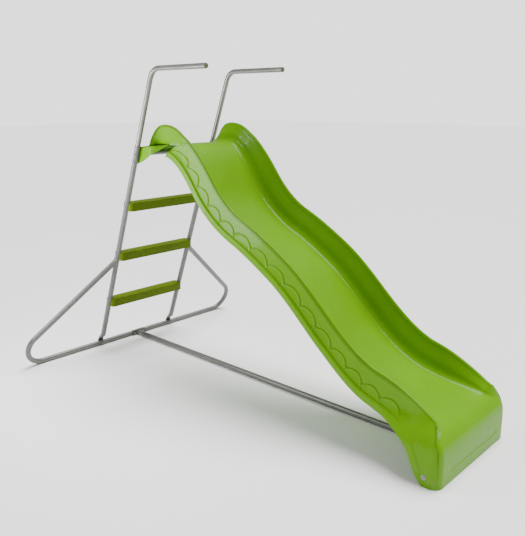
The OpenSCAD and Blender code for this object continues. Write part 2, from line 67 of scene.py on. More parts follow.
# Fixed lengths in metres, and the angle in degrees between the rings of a bend.
SEAT = 0.0002
HEAD_BAR_DROP = 0.056
HEAD_BOLT_GAP = 0.040
LIP_BEHIND = 0.031
CREST_AHEAD = 0.257
LIP_DROP = 0.021
FOOT_TUBE_BACK = 0.068
GRID_STEP = 0.0024
PRESSED_WALL = 0.006
LEG_TAB = 0.005
SADDLE_WALL = 0.006
SADDLE_BOLT_Y = 0.033
BAR_BOLT_X = 0.035
WASHER_BORE = 0.0042
WASHER_RADIUS = 0.012
WASHER_THICK = 0.002
WASHER_EDGE = 0.0003
LEG_ABOVE_KNEE = 0.010
EAR_START = 0.123
CHEEK_LENGTH = 0.213
EASED_EDGE = 0.008
TREAD_NUT_PAST = 0.0502
# How far each bolt reaches past the tube that it goes through.
TREAD_BOLT_PAST = 0.062
HEAD_BOLT_PAST = 0.0302
LOWER_BOLT_PAST = 0.0162
BAR_BOLT_PAST = 0.008
FOOT_BOLT_REACH = 0.0342
TURN_STEP = 3.0


def length(default, label):
    """A size in metres."""
    return bpy.props.FloatProperty(name=label, default=default, unit="LENGTH", precision=4)


def colour(default, label):
    """A linear colour."""
    return bpy.props.FloatVectorProperty(
        name=label, default=default, subtype="COLOR", size=3, min=0.0, max=1.0
    )


class SlideSizes(bpy.types.PropertyGroup):
    """The sizes shared by the pieces."""

    platform_height: length(1.343, "Height of the platform")
    handrail_rise: length(0.407, "Handrails above the platform")
    chute_run: length(1.753, "Level distance from the crest to the front")
    ladder_width: length(0.578, "Between the middles of the uprights")
    lean: bpy.props.FloatProperty(
        name="Lean of the ladder from upright", default=math.radians(20.8), subtype="ANGLE"
    )
    tube_d: length(0.032, "Outside of the frame tubes")
    tube_wall: length(0.0015, "Wall of every tube")
    slip: length(0.0002, "Slack round a tube inside another")
    cross_d: length(0.0254, "Outside of the two cross tubes")
    ground_bend: length(0.11, "Bends of the outriggers onto the ground")
    knee_bend: length(0.056, "Bends where the outriggers leave the uprights")
    rail_bend: length(0.08, "Bends of the handrails")
    rail_reach: length(0.427, "Level reach of the handrails")
    knee_height: length(0.619, "Height at which the outriggers start")
    base_spread: length(1.005, "Half the spread of the base")
    rail_insert: length(0.118, "Depth of a handrail in its side tube")
    tread_depth: length(0.084, "Depth of a tread")
    tread_height: length(0.053, "Thickness of a tread")
    tread_wrap: length(0.002, "Reach of a tread past an upright's middle")
    tread_corner: length(0.026, "Corners of a tread seen from above")
    skin: length(0.0042, "Wall of the moulding")
    wall_height: length(0.134, "Side walls above the bed")
    ear_height: length(0.112, "Ears beside the platform")
    rim_half: length(0.266, "Half the width over the rims")
    rim_width: length(0.018, "Width of a rim")
    wall_lean: length(0.044, "Lean of a side wall from bed to rim")
    skirt_flare: length(0.015, "Stand-out of the skirt from the rim")
    lip_step: length(0.010, "Stand-out of the lip from the skirt")
    foot_half: length(0.330, "Half the width of the foot")
    foot_corner: length(0.044, "Front corners of the foot seen from above")
    scallop_height: length(0.042, "Height of the scallops on the skirt")
    scallop_pitch: length(0.128, "Length of a scallop")
    bead: length(0.0026, "Rise of the scallop beads")
    bolt_d: length(0.008, "Large bolts")
    small_bolt_d: length(0.006, "Small bolts")


class SlideColours(bpy.types.PropertyGroup):
    """The colours of the pieces."""

    moulding: colour((0.118, 0.305, 0.0), "Green of the chute")
    tread: colour((0.085, 0.135, 0.0), "Green of the treads")
    tube: colour((0.150, 0.149, 0.142), "Grey of the frame tubes")
    rail: colour((0.20, 0.20, 0.185), "Grey of the handrails")
    plug: colour((0.13, 0.135, 0.085), "Handrail plugs")
    zinc: colour((0.30, 0.31, 0.32), "Bolts, nuts and washers")
    floor: colour((0.93, 0.93, 0.93), "Pale floor")


def sizes():
    return bpy.context.scene.slide_sizes


def colours():
    return bpy.context.scene.slide_colours


# Lines and curves -------------------------------------------------------------------------

def pchip(knots, x):
    """Smooth interpolation through (place, value) knots that never overshoots them."""
    kx = np.array([k[0] for k in knots], float)
    ky = np.array([k[1] for k in knots], float)
    h = np.diff(kx)
    rate = np.diff(ky) / h
    slope = np.zeros(len(kx))
    for i in range(1, len(kx) - 1):
        if rate[i - 1] * rate[i] > 0:
            w1 = 2 * h[i] + h[i - 1]
            w2 = h[i] + 2 * h[i - 1]
            slope[i] = (w1 + w2) / (w1 / rate[i - 1] + w2 / rate[i])
    x = np.clip(x, kx[0], kx[-1])
    i = np.clip(np.searchsorted(kx, x, side="right") - 1, 0, len(kx) - 2)
    t = (x - kx[i]) / h[i]
    return (
        ky[i] * (1 + 2 * t) * (1 - t) ** 2 + slope[i] * h[i] * t * (1 - t) ** 2
        + ky[i + 1] * t * t * (3 - 2 * t) + slope[i + 1] * h[i] * t * t * (t - 1)
    )


def smooth_step(x, low, high):
    return eased(np.clip((x - low) / (high - low), 0, 1))


def eased(t):
    return t * t * (3 - 2 * t)


def mix(a, b, t):
    return a * (1 - t) + b * t


def unit(v):
    return v / np.maximum(np.linalg.norm(v, axis=-1, keepdims=True), 1e-9)


def spline_weights(places, counts):
    """Weights that turn control columns into a smooth run with counts[i] steps in interval i."""
    n = len(places)
    rows = []
    for i in range(n - 1):
        last = i == n - 2
        for k in range(counts[i] + (1 if last else 0)):
            t = k / counts[i]
            w = np.zeros(n)
            h = places[i + 1] - places[i]
            w[i] += (1 + 2 * t) * (1 - t) ** 2
            w[i + 1] += t * t * (3 - 2 * t)
            for at, c in ((i, t * (1 - t) ** 2), (i + 1, t * t * (t - 1))):
                a, b = max(at - 1, 0), min(at + 1, n - 1)
                w[b] += c * h / (places[b] - places[a])
                w[a] -= c * h / (places[b] - places[a])
            rows.append(w)
    return np.array(rows)


def heading(degrees):
    angle = math.radians(degrees)
    return np.array([math.cos(angle), math.sin(angle)])


def course(stations, steps):
    """Points, directions, segment numbers and ways along smooth cubic runs between stations."""
    points, ways, segment, share = [], [], [], []
    for k in range(len(stations) - 1):
        a, b = np.array(stations[k][:2]), np.array(stations[k + 1][:2])
        da, db = heading(stations[k][2]), heading(stations[k + 1][2])
        reach = np.linalg.norm(b - a) / 3
        p, q = a + reach * da, b - reach * db
        n = steps[k]
        t = np.arange(n + (1 if k == len(stations) - 2 else 0))[:, None] / n
        points.append(
            (1 - t) ** 3 * a + 3 * t * (1 - t) ** 2 * p + 3 * t * t * (1 - t) * q + t ** 3 * b
        )
        ways.append(
            3 * (1 - t) ** 2 * (p - a) + 6 * t * (1 - t) * (q - p) + 3 * t * t * (b - q)
        )
        segment.append(np.full(len(t), k))
        share.append(t[:, 0])
    points, ways = np.concatenate(points), unit(np.concatenate(ways))
    return points, ways, np.concatenate(segment), np.concatenate(share)


# Mesh helpers -----------------------------------------------------------------------------

def link(name, data):
    """A new object in the scene."""
    thing = bpy.data.objects.new(name, data)
    bpy.context.scene.collection.objects.link(thing)
    return thing


def make_object(name, verts, faces, material, replaces=(), values=None, sharp=None):
    """A mesh object that rides on the frame. verts are measured from the base bar."""
    verts = np.asarray(verts, float).reshape(-1, 3) + np.array([BASE_X, 0, 0])
    mesh = bpy.data.meshes.new(name)
    mesh.from_pydata(verts.tolist(), [], [tuple(int(i) for i in f) for f in faces])
    mesh.update()
    for key, data in (values or {}).items():
        layer = mesh.attributes.new(key, "FLOAT", "POINT")
        layer.data.foreach_set("value", np.asarray(data, np.float32).ravel())
    mesh.polygons.foreach_set("use_smooth", [True] * len(mesh.polygons))
    if sharp is not None:
        mesh.set_sharp_from_angle(angle=math.radians(sharp))
    mesh.materials.append(material)
    piece = link(name, mesh)
    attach(piece, "root")
    if replaces:
        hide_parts(*replaces)
    return piece


def quads(rows, cols, close_rows=False, close_cols=False, mask=None):
    """Faces over a grid of points, rows by cols."""
    i = np.arange(rows if close_rows else rows - 1)
    j = np.arange(cols if close_cols else cols - 1)
    i, j = np.meshgrid(i, j, indexing="ij")
    a = i * cols + j
    b = ((i + 1) % rows) * cols + j
    c = ((i + 1) % rows) * cols + (j + 1) % cols
    d = i * cols + (j + 1) % cols
    out = np.stack([a, b, c, d], axis=-1)
    return out.reshape(-1, 4) if mask is None else out[mask]


def compact(verts, faces, values):
    """Drops the points that no face uses."""
    used = np.unique(faces)
    number = np.full(len(verts), -1)
    number[used] = np.arange(len(used))
    return verts[used], number[faces], {k: v.ravel()[used] for k, v in values.items()}


def joined(parts):
    """Joins (verts, faces) lists into one."""
    verts, faces, n = [], [], 0
    for v, f in parts:
        verts.append(np.asarray(v, float).reshape(-1, 3))
        faces += [tuple(int(i) + n for i in face) for face in f]
        n += len(verts[-1])
    return np.concatenate(verts), faces


def arc_course(steps, bends):
    """Middle line of a bent tube in its plane: lengths and turns in steps, a radius per turn."""
    at, bearing = np.zeros(2), 0.0
    points, bearings = [at], [0.0]
    for k in range(0, len(steps), 2):
        ahead = np.array([math.cos(bearing), math.sin(bearing)])
        at = at + steps[k] * ahead
        points.append(at)
        bearings.append(bearing)
        if k + 1 < len(steps):
            turn, bend = math.radians(steps[k + 1]), bends[k // 2]
            side = math.copysign(1, turn)
            centre = at + side * bend * np.array([-math.sin(bearing), math.cos(bearing)])
            n = max(2, int(abs(steps[k + 1]) / TURN_STEP))
            for m in range(1, n + 1):
                b = bearing + turn * m / n
                points.append(centre + side * bend * np.array([math.sin(b), -math.cos(b)]))
                bearings.append(b)
            bearing += turn
            at = points[-1]
    return np.array(points), np.array(bearings)


def plane_frame(origin, ahead, across, points, bearings):
    """Puts a plane course in space. Returns centres, directions and the plane's normal."""
    ahead, across = np.array(ahead, float), np.array(across, float)
    centres = np.array(origin) + points[:, :1] * ahead + points[:, 1:] * across
    ways = np.cos(bearings)[:, None] * ahead + np.sin(bearings)[:, None] * across
    return centres, ways, np.cross(ahead, across)


def swept_tube(centres, ways, normal, radius, bore, sides=40):
    """A hollow tube with eased end edges along a plane course."""
    ease = min(0.0004, radius * 0.05)
    tail, head, first, last = centres[0], centres[-1], ways[0], ways[-1]
    stations = [(tail, first, bore)]
    stations += [(tail + first * k * ease, first, radius - ease * (k == 0)) for k in (0, 1, 3)]
    stations += [(c, w, radius) for c, w in zip(centres[1:-1], ways[1:-1])]
    stations += [(head - last * k * ease, last, radius - ease * (k == 0)) for k in (3, 1, 0)]
    stations.append((head, last, bore))
    stations += [(c, w, bore) for c, w in list(zip(centres, ways))[-2:0:-1]]
    angle = np.arange(sides) * 2 * math.pi / sides
    rings = []
    for c, w, r in stations:
        side = np.cross(normal, w)
        rings.append(c + r * (np.cos(angle)[:, None] * side + np.sin(angle)[:, None] * normal))
    return np.array(rings), quads(len(rings), sides, True, True)


def lathe(profile, matrix, sides=36):
    """A turned piece about local Z. profile is [radius, height, across flats or 0 for round]."""
    angle = (np.arange(sides) + 0.5) * 2 * math.pi / sides
    corner = np.mod(angle, math.pi / 3) - math.pi / 6
    rings = []
    for r, z, flats in profile:
        reach = np.full(sides, float(r))
        if flats:
            reach = np.minimum(reach, flats / 2 / np.cos(corner))
        rings.append(np.stack([reach * np.cos(angle), reach * np.sin(angle), np.full(sides, z)], 1))
    verts = np.concatenate(rings)
    faces = [tuple(f) for f in quads(len(rings), sides, False, True)]
    faces.append(tuple(range(sides)))
    faces.append(tuple(range((len(rings) - 1) * sides, len(rings) * sides))[::-1])
    return verts @ np.array(matrix.to_3x3()).T + np.array(matrix.translation), faces


def facing(place, direction):
    """A matrix that stands local Z along direction at a place."""
    turn = Vector(direction).to_track_quat("Z", "X").to_matrix().to_4x4()
    return Matrix.Translation(Vector(place)) @ turn


# Shared shading ---------------------------------------------------------------------------

def node_group(name, inputs, outputs):
    """A new shader node group with float or colour sockets."""
    group = bpy.data.node_groups.new(name, "ShaderNodeTree")
    for label, kind, default in inputs:
        socket = group.interface.new_socket(label, in_out="INPUT", socket_type=kind)
        socket.default_value = default
    for label, kind in outputs:
        group.interface.new_socket(label, in_out="OUTPUT", socket_type=kind)
    return group, group.nodes.new("NodeGroupInput"), group.nodes.new("NodeGroupOutput")


def add_noise(tree, where, scale, detail=3.0, roughness=0.5, distortion=0.0, stretch=None):
    """Noise over object space. scale may be a socket."""
    vector = where
    if stretch is not None:
        mapping = tree.nodes.new("ShaderNodeMapping")
        mapping.inputs["Scale"].default_value = stretch
        tree.links.new(where, mapping.inputs["Vector"])
        vector = mapping.outputs["Vector"]
    noise = tree.nodes.new("ShaderNodeTexNoise")
    noise.inputs["Detail"].default_value = detail
    noise.inputs["Roughness"].default_value = roughness
    noise.inputs["Distortion"].default_value = distortion
    tree.links.new(vector, noise.inputs["Vector"])
    if isinstance(scale, float):
        noise.inputs["Scale"].default_value = scale
    else:
        tree.links.new(scale, noise.inputs["Scale"])
    return noise.outputs["Fac"]


def add_range(tree, value, low, high, to_low, to_high):
    node = tree.nodes.new("ShaderNodeMapRange")
    node.inputs["From Min"].default_value = low
    node.inputs["From Max"].default_value = high
    node.inputs["To Min"].default_value = to_low
    node.inputs["To Max"].default_value = to_high
    tree.links.new(value, node.inputs["Value"])
    return node.outputs["Result"]


def scaled(tree, value, factor):
    """A value of 0 to 1 brought to 0 to factor."""
    return add_range(tree, value, 0.0, 1.0, 0.0, factor)


def masked(tree, value, low, high):
    """0 at low and 1 at high."""
    return add_range(tree, value, low, high, 0.0, 1.0)


def add_math(tree, kind, a, b):
    node = tree.nodes.new("ShaderNodeMath")
    node.operation = kind
    for socket, value in zip(node.inputs, (a, b)):
        if isinstance(value, float):
            socket.default_value = value
        else:
            tree.links.new(value, socket)
    return node.outputs["Value"]


def add_blend(tree, factor, a, b):
    """Colour a where factor is 0 and b where it is 1."""
    node = tree.nodes.new("ShaderNodeMix")
    node.data_type = "RGBA"
    tree.links.new(factor, node.inputs["Factor"])
    for socket, value in ((node.inputs[6], a), (node.inputs[7], b)):
        if isinstance(value, tuple):
            socket.default_value = value
        else:
            tree.links.new(value, socket)
    return node.outputs[2]


def moulded_surface():
    """Broad mottling, orange peel, specks and fine scratches of a moulded plastic."""
    group = bpy.data.node_groups.get("moulded_surface")
    if group:
        return group
    group, start, end = node_group(
        "moulded_surface",
        [("Peel Scale", "NodeSocketFloat", 420.0), ("Scratch Scale", "NodeSocketFloat", 60.0)],
        [("Tone", "NodeSocketFloat"), ("Height", "NodeSocketFloat"),
         ("Scratch", "NodeSocketFloat"), ("Dust", "NodeSocketFloat")],
    )
    where = group.nodes.new("ShaderNodeTexCoord").outputs["Object"]
    tone = add_noise(group, where, 2.6, 4.0, 0.55, 0.6)
    peel = add_noise(group, where, start.outputs["Peel Scale"], 2.0, 0.45)
    broad = add_noise(group, where, 38.0, 2.0, 0.5)
    long_way = add_noise(group, where, start.outputs["Scratch Scale"], 3.0, 0.6, 0.3, (0.25, 6.0, 1.5))
    patch = add_noise(group, where, 5.0, 2.0, 0.5)
    scratch = add_math(
        group, "MULTIPLY", masked(group, long_way, 0.62, 0.72), masked(group, patch, 0.50, 0.66)
    )
    speck = group.nodes.new("ShaderNodeTexVoronoi")
    speck.inputs["Scale"].default_value = 170.0
    group.links.new(where, speck.inputs["Vector"])
    dust = add_math(
        group, "MULTIPLY", masked(group, speck.outputs["Distance"], 0.10, 0.05),
        masked(group, add_noise(group, where, 9.0, 3.0), 0.50, 0.68),
    )
    height = add_math(group, "ADD", scaled(group, peel, 0.5), scaled(group, broad, 1.2))
    height = add_math(group, "SUBTRACT", height, scaled(group, scratch, 0.5))
    for label, value in (("Tone", tone), ("Height", height), ("Scratch", scratch), ("Dust", dust)):
        group.links.new(value, end.inputs[label])
    return group


def metal_surface():
    """Speckle, drawn streaks and dull patches of a coated or plated metal."""
    group = bpy.data.node_groups.get("metal_surface")
    if group:
        return group
    group, start, end = node_group(
        "metal_surface",
        [("Speckle Scale", "NodeSocketFloat", 900.0)],
        [("Speckle", "NodeSocketFloat"), ("Patch", "NodeSocketFloat"),
         ("Height", "NodeSocketFloat"), ("Chip", "NodeSocketFloat")],
    )
    where = group.nodes.new("ShaderNodeTexCoord").outputs["Object"]
    speckle = add_noise(group, where, start.outputs["Speckle Scale"], 2.0, 0.6)
    patch = add_noise(group, where, 14.0, 4.0, 0.6, 0.8)
    streak = add_noise(group, where, 40.0, 3.0, 0.5, 0.0, (1.0, 1.0, 0.15))
    chip = add_math(
        group, "MULTIPLY", masked(group, add_noise(group, where, 160.0, 3.0), 0.68, 0.74),
        masked(group, patch, 0.52, 0.64),
    )
    height = add_math(group, "ADD", speckle, scaled(group, streak, 0.6))
    for label, value in (("Speckle", speckle), ("Patch", patch), ("Height", height), ("Chip", chip)):
        group.links.new(value, end.inputs[label])
    return group


def edge_dust():
    """A cloudy mask of dust near the ground."""
    group = bpy.data.node_groups.get("edge_dust")
    if group:
        return group
    group, start, end = node_group(
        "edge_dust", [("Reach", "NodeSocketFloat", 0.12)], [("Mask", "NodeSocketFloat")]
    )
    where = group.nodes.new("ShaderNodeTexCoord").outputs["Object"]
    split = group.nodes.new("ShaderNodeSeparateXYZ")
    group.links.new(where, split.inputs["Vector"])
    near = group.nodes.new("ShaderNodeMapRange")
    near.inputs["From Min"].default_value = 0.0
    near.inputs["To Min"].default_value = 1.0
    near.inputs["To Max"].default_value = 0.0
    group.links.new(split.outputs["Z"], near.inputs["Value"])
    group.links.new(start.outputs["Reach"], near.inputs["From Max"])
    cloud = masked(group, add_noise(group, where, 22.0, 5.0, 0.6), 0.42, 0.70)
    group.links.new(add_math(group, "MULTIPLY", near.outputs["Result"], cloud), end.inputs["Mask"])
    return group


def use_group(tree, group, **values):
    node = tree.nodes.new("ShaderNodeGroup")
    node.node_tree = group
    for key, value in values.items():
        node.inputs[key.replace("_", " ")].default_value = value
    return node


def shared_material(make):
    """Makes a material once for each name."""

    def get_or_make(name, *values):
        return bpy.data.materials.get(name) or make(name, *values)

    return get_or_make


def material_base(name):
    """A new node material and its principled shader."""
    material = bpy.data.materials.new(name)
    material.use_nodes = True
    tree = material.node_tree
    return material, tree, tree.nodes["Principled BSDF"]


def add_bump(tree, shader, height, distance):
    bump = tree.nodes.new("ShaderNodeBump")
    bump.inputs["Distance"].default_value = distance
    bump.inputs["Strength"].default_value = 1.0
    tree.links.new(height, bump.inputs["Height"])
    tree.links.new(bump.outputs["Normal"], shader.inputs["Normal"])


def tinted(base, factor, shift=(0, 0, 0)):
    """A colour made lighter or darker, as a four-part tuple."""
    return tuple(min(1.0, max(0.0, c * factor + s)) for c, s in zip(base, shift)) + (1.0,)


@shared_material
def plastic_material(name, base, rough, peel, coat, scuff, bump=0.00012):
    """Moulded plastic with mottling, worn gloss, scratches and dust, and painted shade darkening the
    mesh's grooves and edges.
    """
    material, tree, shader = material_base(name)
    surface = use_group(tree, moulded_surface(), Peel_Scale=peel)
    ground = use_group(tree, edge_dust(), Reach=0.10)
    # Painted shade: the mesh's shade marks darken the colour to 0.42 of the base in the scallop
    # grooves, along the lip, at the skirt's leading edge and on the rim's outer edge.
    detail = tree.nodes.new("ShaderNodeAttribute")
    detail.attribute_name = "painted_shade"
    tone = masked(tree, surface.outputs["Tone"], 0.3, 0.7)
    body = add_blend(tree, tone, tinted(base, 0.93), tinted(base, 1.06))
    body = add_blend(tree, detail.outputs["Fac"], body, tinted(base, 0.42))
    for amount, tint in (
        (scaled(tree, surface.outputs["Scratch"], scuff), tinted(base, 1.0, (0.16, 0.14, 0.10))),
        (scaled(tree, surface.outputs["Dust"], 0.35), tinted(base, 0.8, (0.12, 0.10, 0.08))),
        (scaled(tree, ground.outputs["Mask"], 0.30), (0.30, 0.28, 0.22, 1)),
    ):
        body = add_blend(tree, amount, body, tint)
    tree.links.new(body, shader.inputs["Base Color"])
    worn = add_math(
        tree, "ADD", add_range(tree, surface.outputs["Tone"], 0.2, 0.8, rough - 0.05, rough + 0.06),
        scaled(tree, surface.outputs["Scratch"], 0.16),
    )
    worn = add_math(tree, "ADD", worn, scaled(tree, ground.outputs["Mask"], 0.2))
    tree.links.new(worn, shader.inputs["Roughness"])
    shader.inputs["Coat Weight"].default_value = coat
    shader.inputs["Coat Roughness"].default_value = 0.10
    shader.inputs["IOR"].default_value = 1.42
    shader.inputs["Specular IOR Level"].default_value = 0.10
    add_bump(tree, shader, surface.outputs["Height"], bump)
    return material


@shared_material
def metal_material(name, base, rough, metallic, speckle, bump):
    """Coated or plated steel with speckle, dull patches and small chips."""
    material, tree, shader = material_base(name)
    surface = use_group(tree, metal_surface(), Speckle_Scale=speckle)
    ground = use_group(tree, edge_dust(), Reach=0.05)
    tone = masked(tree, surface.outputs["Patch"], 0.3, 0.7)
    body = add_blend(tree, tone, tinted(base, 0.86), tinted(base, 1.12))
    grain = add_range(tree, surface.outputs["Speckle"], 0.35, 0.65, 0.0, 0.20)
    body = add_blend(tree, grain, body, tinted(base, 0.72))
    body = add_blend(tree, surface.outputs["Chip"], body, tinted(base, 0.45, (0.03, 0.02, 0)))
    body = add_blend(tree, scaled(tree, ground.outputs["Mask"], 0.4), body, (0.24, 0.21, 0.16, 1))
    tree.links.new(body, shader.inputs["Base Color"])
    worn = add_math(
        tree, "ADD", add_range(tree, surface.outputs["Patch"], 0.2, 0.8, rough - 0.06, rough + 0.08),
        scaled(tree, surface.outputs["Chip"], 0.2),
    )
    tree.links.new(worn, shader.inputs["Roughness"])
    tree.links.new(
        add_range(tree, surface.outputs["Chip"], 0, 1, metallic, metallic * 0.5),
        shader.inputs["Metallic"],
    )
    add_bump(tree, shader, surface.outputs["Height"], bump)
    return material


def moulding_material():
    return plastic_material("green_moulding", tuple(colours().moulding), 0.27, 420.0, 0.10, 0.20)


def tread_material():
    return plastic_material(
        "tread_plastic", tuple(colours().tread), 0.46, 700.0, 0.05, 0.45, 0.0002
    )


def plug_material():
    return plastic_material("plug_plastic", tuple(colours().plug), 0.42, 900.0, 0.0, 0.3)


def tube_material():
    return metal_material("coated_tube", tuple(colours().tube), 0.36, 0.30, 900.0, 0.000012)


def rail_material():
    return metal_material("rail_tube", tuple(colours().rail), 0.27, 0.50, 1300.0, 0.000004)


def zinc_material():
    return metal_material("zinc_plate", tuple(colours().zinc), 0.32, 0.55, 1500.0, 0.00002)


# The chute --------------------------------------------------------------------------------

def tube_r():
    return sizes().tube_d / 2


def half_ladder():
    return sizes().ladder_width / 2


def head_bar_z():
    return sizes().platform_height - HEAD_BAR_DROP


def lip_x():
    return ladder_x(head_bar_z()) - LIP_BEHIND


def crest_x():
    return lip_x() + LIP_BEHIND + CREST_AHEAD


def front_x():
    return crest_x() + sizes().chute_run


def foot_tube_place():
    """X and Z of the tube through the foot."""
    return front_x() - FOOT_TUBE_BACK, sizes().tube_d + sizes().cross_d / 2


def cheek_face():
    """Y of a cheek's outer face, just inside an upright."""
    return half_ladder() - tube_r() - SEAT


def chute_lines():
    """Stations of the bed and of the skirt's lower edge: [x, z, slope in degrees]."""
    s = sizes()

    def down(f, h, slope):
        return [crest_x() + f * s.chute_run, h * s.platform_height, slope]

    bed = [
        [lip_x(), s.platform_height - 0.062, 90], [lip_x(), s.platform_height - 0.042, 90],
        [lip_x() + LIP_DROP, s.platform_height - LIP_DROP, 8],
        down(0, 1, -3), down(0.051, 0.964, -46), down(0.137, 0.815, -53),
        down(0.291, 0.649, -24), down(0.434, 0.546, -32), down(0.628, 0.330, -40),
        down(0.787, 0.212, -14), down(0.953, 0.177, -10), down(0.987, 0.150, -52),
        down(0.999, 0.114, -86), down(1, 0, -90),
    ]
    edge = [
        down(0.003, 0.958, -12), down(0.125, 0.819, -54), down(0.289, 0.649, -24),
        down(0.431, 0.545, -32), down(0.624, 0.331, -40), down(0.773, 0.197, -20),
        down(0.899, 0.121, -42), down(0.922, 0.072, -66), down(0.934, 0.036, -62),
        down(0.958, 0, -30),
    ]
    return bed, edge


SKIRT_START = 4
FOOT_START = 9


def chute_knots():
    """Smooth runs of the rim's height and width, and of the foot's width."""
    s = sizes()
    ear, tall, run = s.ear_height, s.wall_height, s.chute_run
    start, crest = lip_x() + EAR_START, crest_x()
    heights = [
        (start, 0), (start + 0.030, 0.42 * ear), (start + 0.062, 0.76 * ear),
        (start + 0.096, 0.95 * ear), (crest - 0.025, ear), (crest + 0.062, 0.94 * ear),
        (crest + 0.051 * run, ear), (crest + 0.137 * run, tall), (crest + 0.787 * run, tall),
        (crest + 0.953 * run, 0.37 * tall), (crest + 0.987 * run, 0),
    ]
    widths = [(start - 0.010, cheek_face()), (start + 0.070, s.rim_half)]
    foot = [
        (0, s.foot_half), (0.06, s.foot_half), (0.12, s.foot_half - 0.004),
        (0.15, s.foot_half - 0.014), (0.18, s.foot_half - 0.036), (0.215, s.rim_half),
    ]
    return heights, widths, foot


def chute_grid():
    """The left half of the moulding's outer face: points, painted shade marks and faces that are used.
    """
    s = sizes()
    bed_stations, edge_stations = chute_lines()
    heights, widths, foot = chute_knots()
    step = GRID_STEP / DETAIL
    steps = []
    for a, b in zip(bed_stations[:-1], bed_stations[1:]):
        steps.append(max(4, int(math.dist(a[:2], b[:2]) / step)))
    bed, way, segment, share = course(bed_stations, steps)
    normal = np.stack([-way[:, 1], way[:, 0]], axis=1)
    edge_run, _, _, _ = course(edge_stations, steps[SKIRT_START:])
    n = len(bed)
    first = n - len(edge_run)
    rim = bed + pchip(heights, bed[:, 0])[:, None] * normal
    edge = np.concatenate([rim[:first] - [0, 0.02], edge_run])
    skirt = np.arange(n) >= first
    at_foot = np.where(segment > FOOT_START, 1.0, np.where(segment == FOOT_START, share, 0.0))
    at_foot = eased(at_foot)

    def foot_width(z):
        return pchip(foot, z / s.platform_height)

    rim_y = mix(pchip(widths, bed[:, 0]), foot_width(rim[:, 1]), at_foot)
    lean, rim_w = s.wall_lean, s.rim_width
    rise = [
        (lean + rim_w + 0.026, 0), (lean + rim_w + 0.008, 0.035), (lean + rim_w - 0.008, 0.17),
        (0.55 * lean + rim_w, 0.45), (rim_w + 0.003, 0.82), (rim_w - 0.002, 0.95),
        (rim_w / 2, 1.0), (0.002, 0.965), (0.0, 0.90),
    ]
    flare, lip = s.skirt_flare, s.lip_step
    hang = [
        (0.45 * flare, 0.45), (flare, 0.735), (flare + lip, 0.80), (flare + lip + 0.001, 0.90),
        (flare + lip + 0.001, 1.0),
    ]
    half = len(rise) + 2
    controls = np.zeros((n, half + len(hang), 3))
    controls[:, 0] = np.stack([bed[:, 0], np.zeros(n), bed[:, 1]], 1)
    controls[:, 1] = np.stack([bed[:, 0], 0.55 * (rim_y - lean), bed[:, 1]], 1)
    for k, (inset, up) in enumerate(rise):
        p = mix(bed, rim, up)
        controls[:, 2 + k] = np.stack([p[:, 0], rim_y - inset, p[:, 1]], 1)
    for k, (out, drop) in enumerate(hang):
        p = mix(rim, edge, drop)
        y = mix(rim_y + out, foot_width(p[:, 1]), at_foot)
        keep = 0.35 * max(out - flare, 0) * at_foot * smooth_step(p[:, 1], 0.02, 0.10)
        controls[:, half + k] = np.stack([p[:, 0], y + keep, p[:, 1]], 1)
    # The skirt's leading edge bows out towards the ladder.
    bow = np.zeros(n)
    run = np.arange(n - first) / max(1, int(0.075 / step))
    bow[first:] = 1 - smooth_step(run, 0.0, 1.0)
    for k, (_, drop) in enumerate(hang):
        controls[:, half + k, 0] -= 0.020 * math.sin(math.pi * min(drop, 1.0)) * bow
        controls[:, half + k, 2] += 0.012 * math.sin(math.pi * min(drop, 1.0)) * bow
    reach = [0, 0.13, 0.19, 0.212, 0.236, 0.275, 0.33, 0.348, 0.36, 0.37, 0.382,
             0.44, 0.475, 0.489, 0.503, 0.518]
    counts = [5, 5, 4, 4, 5, 7, 4, 4, 4, 3, 16, 16, 9, 5, 5]
    counts = [max(2, int(round(c * (0.6 if DETAIL < 1 else 1)))) for c in counts]
    weights = spline_weights(reach, counts)
    grid = np.einsum("fc,ncd->nfd", weights, controls)
    rim_column = sum(counts[:half - 1])
    grid = round_corners(grid)
    down_share = np.einsum(
        "fc,c->f", weights, np.array([0.0] * half + [d for _, d in hang])
    )
    # Arc length along the skirt's edge, from its start.
    along = np.zeros(n)
    along[first:] = np.concatenate(
        [[0], np.cumsum(np.linalg.norm(np.diff(edge[first:], axis=0), axis=1))]
    )
    drop_length = np.linalg.norm(rim - edge, axis=1)
    grid, painted_shade = add_skirt_relief(grid, along, drop_length, down_share, rim_column, skirt, at_foot)
    grid = add_front_relief(grid)
    # Painted shade darkens the rim's outer edge against the walls, except where it runs out at the
    # foot.
    column = np.arange(grid.shape[1])
    rim_edge_shade = smooth_step(column, rim_column - 8, rim_column - 4) * (column <= rim_column + 1)
    painted_shade = np.maximum(painted_shade, 0.55 * rim_edge_shade[None, :] * (1 - 0.6 * at_foot)[:, None])
    used = np.ones((n - 1, grid.shape[1] - 1), bool)
    used[:first, rim_column:] = False
    return grid, painted_shade, used


def round_corners(grid):
    """Draws the points near the front corners of the foot in to a round corner."""
    s = sizes()
    dx = grid[..., 0] - (crest_x() + s.chute_run - s.foot_corner)
    dy = grid[..., 1] - (s.foot_half - s.foot_corner)
    inside = (dx > 0) & (dy > 0)
    pull = np.where(inside, np.maximum(dx, dy) / np.maximum(np.hypot(dx, dy), 1e-9), 1.0)
    out = grid.copy()
    out[..., 0] += (pull - 1) * np.where(inside, dx, 0)
    out[..., 1] += (pull - 1) * np.where(inside, dy, 0)
    return out


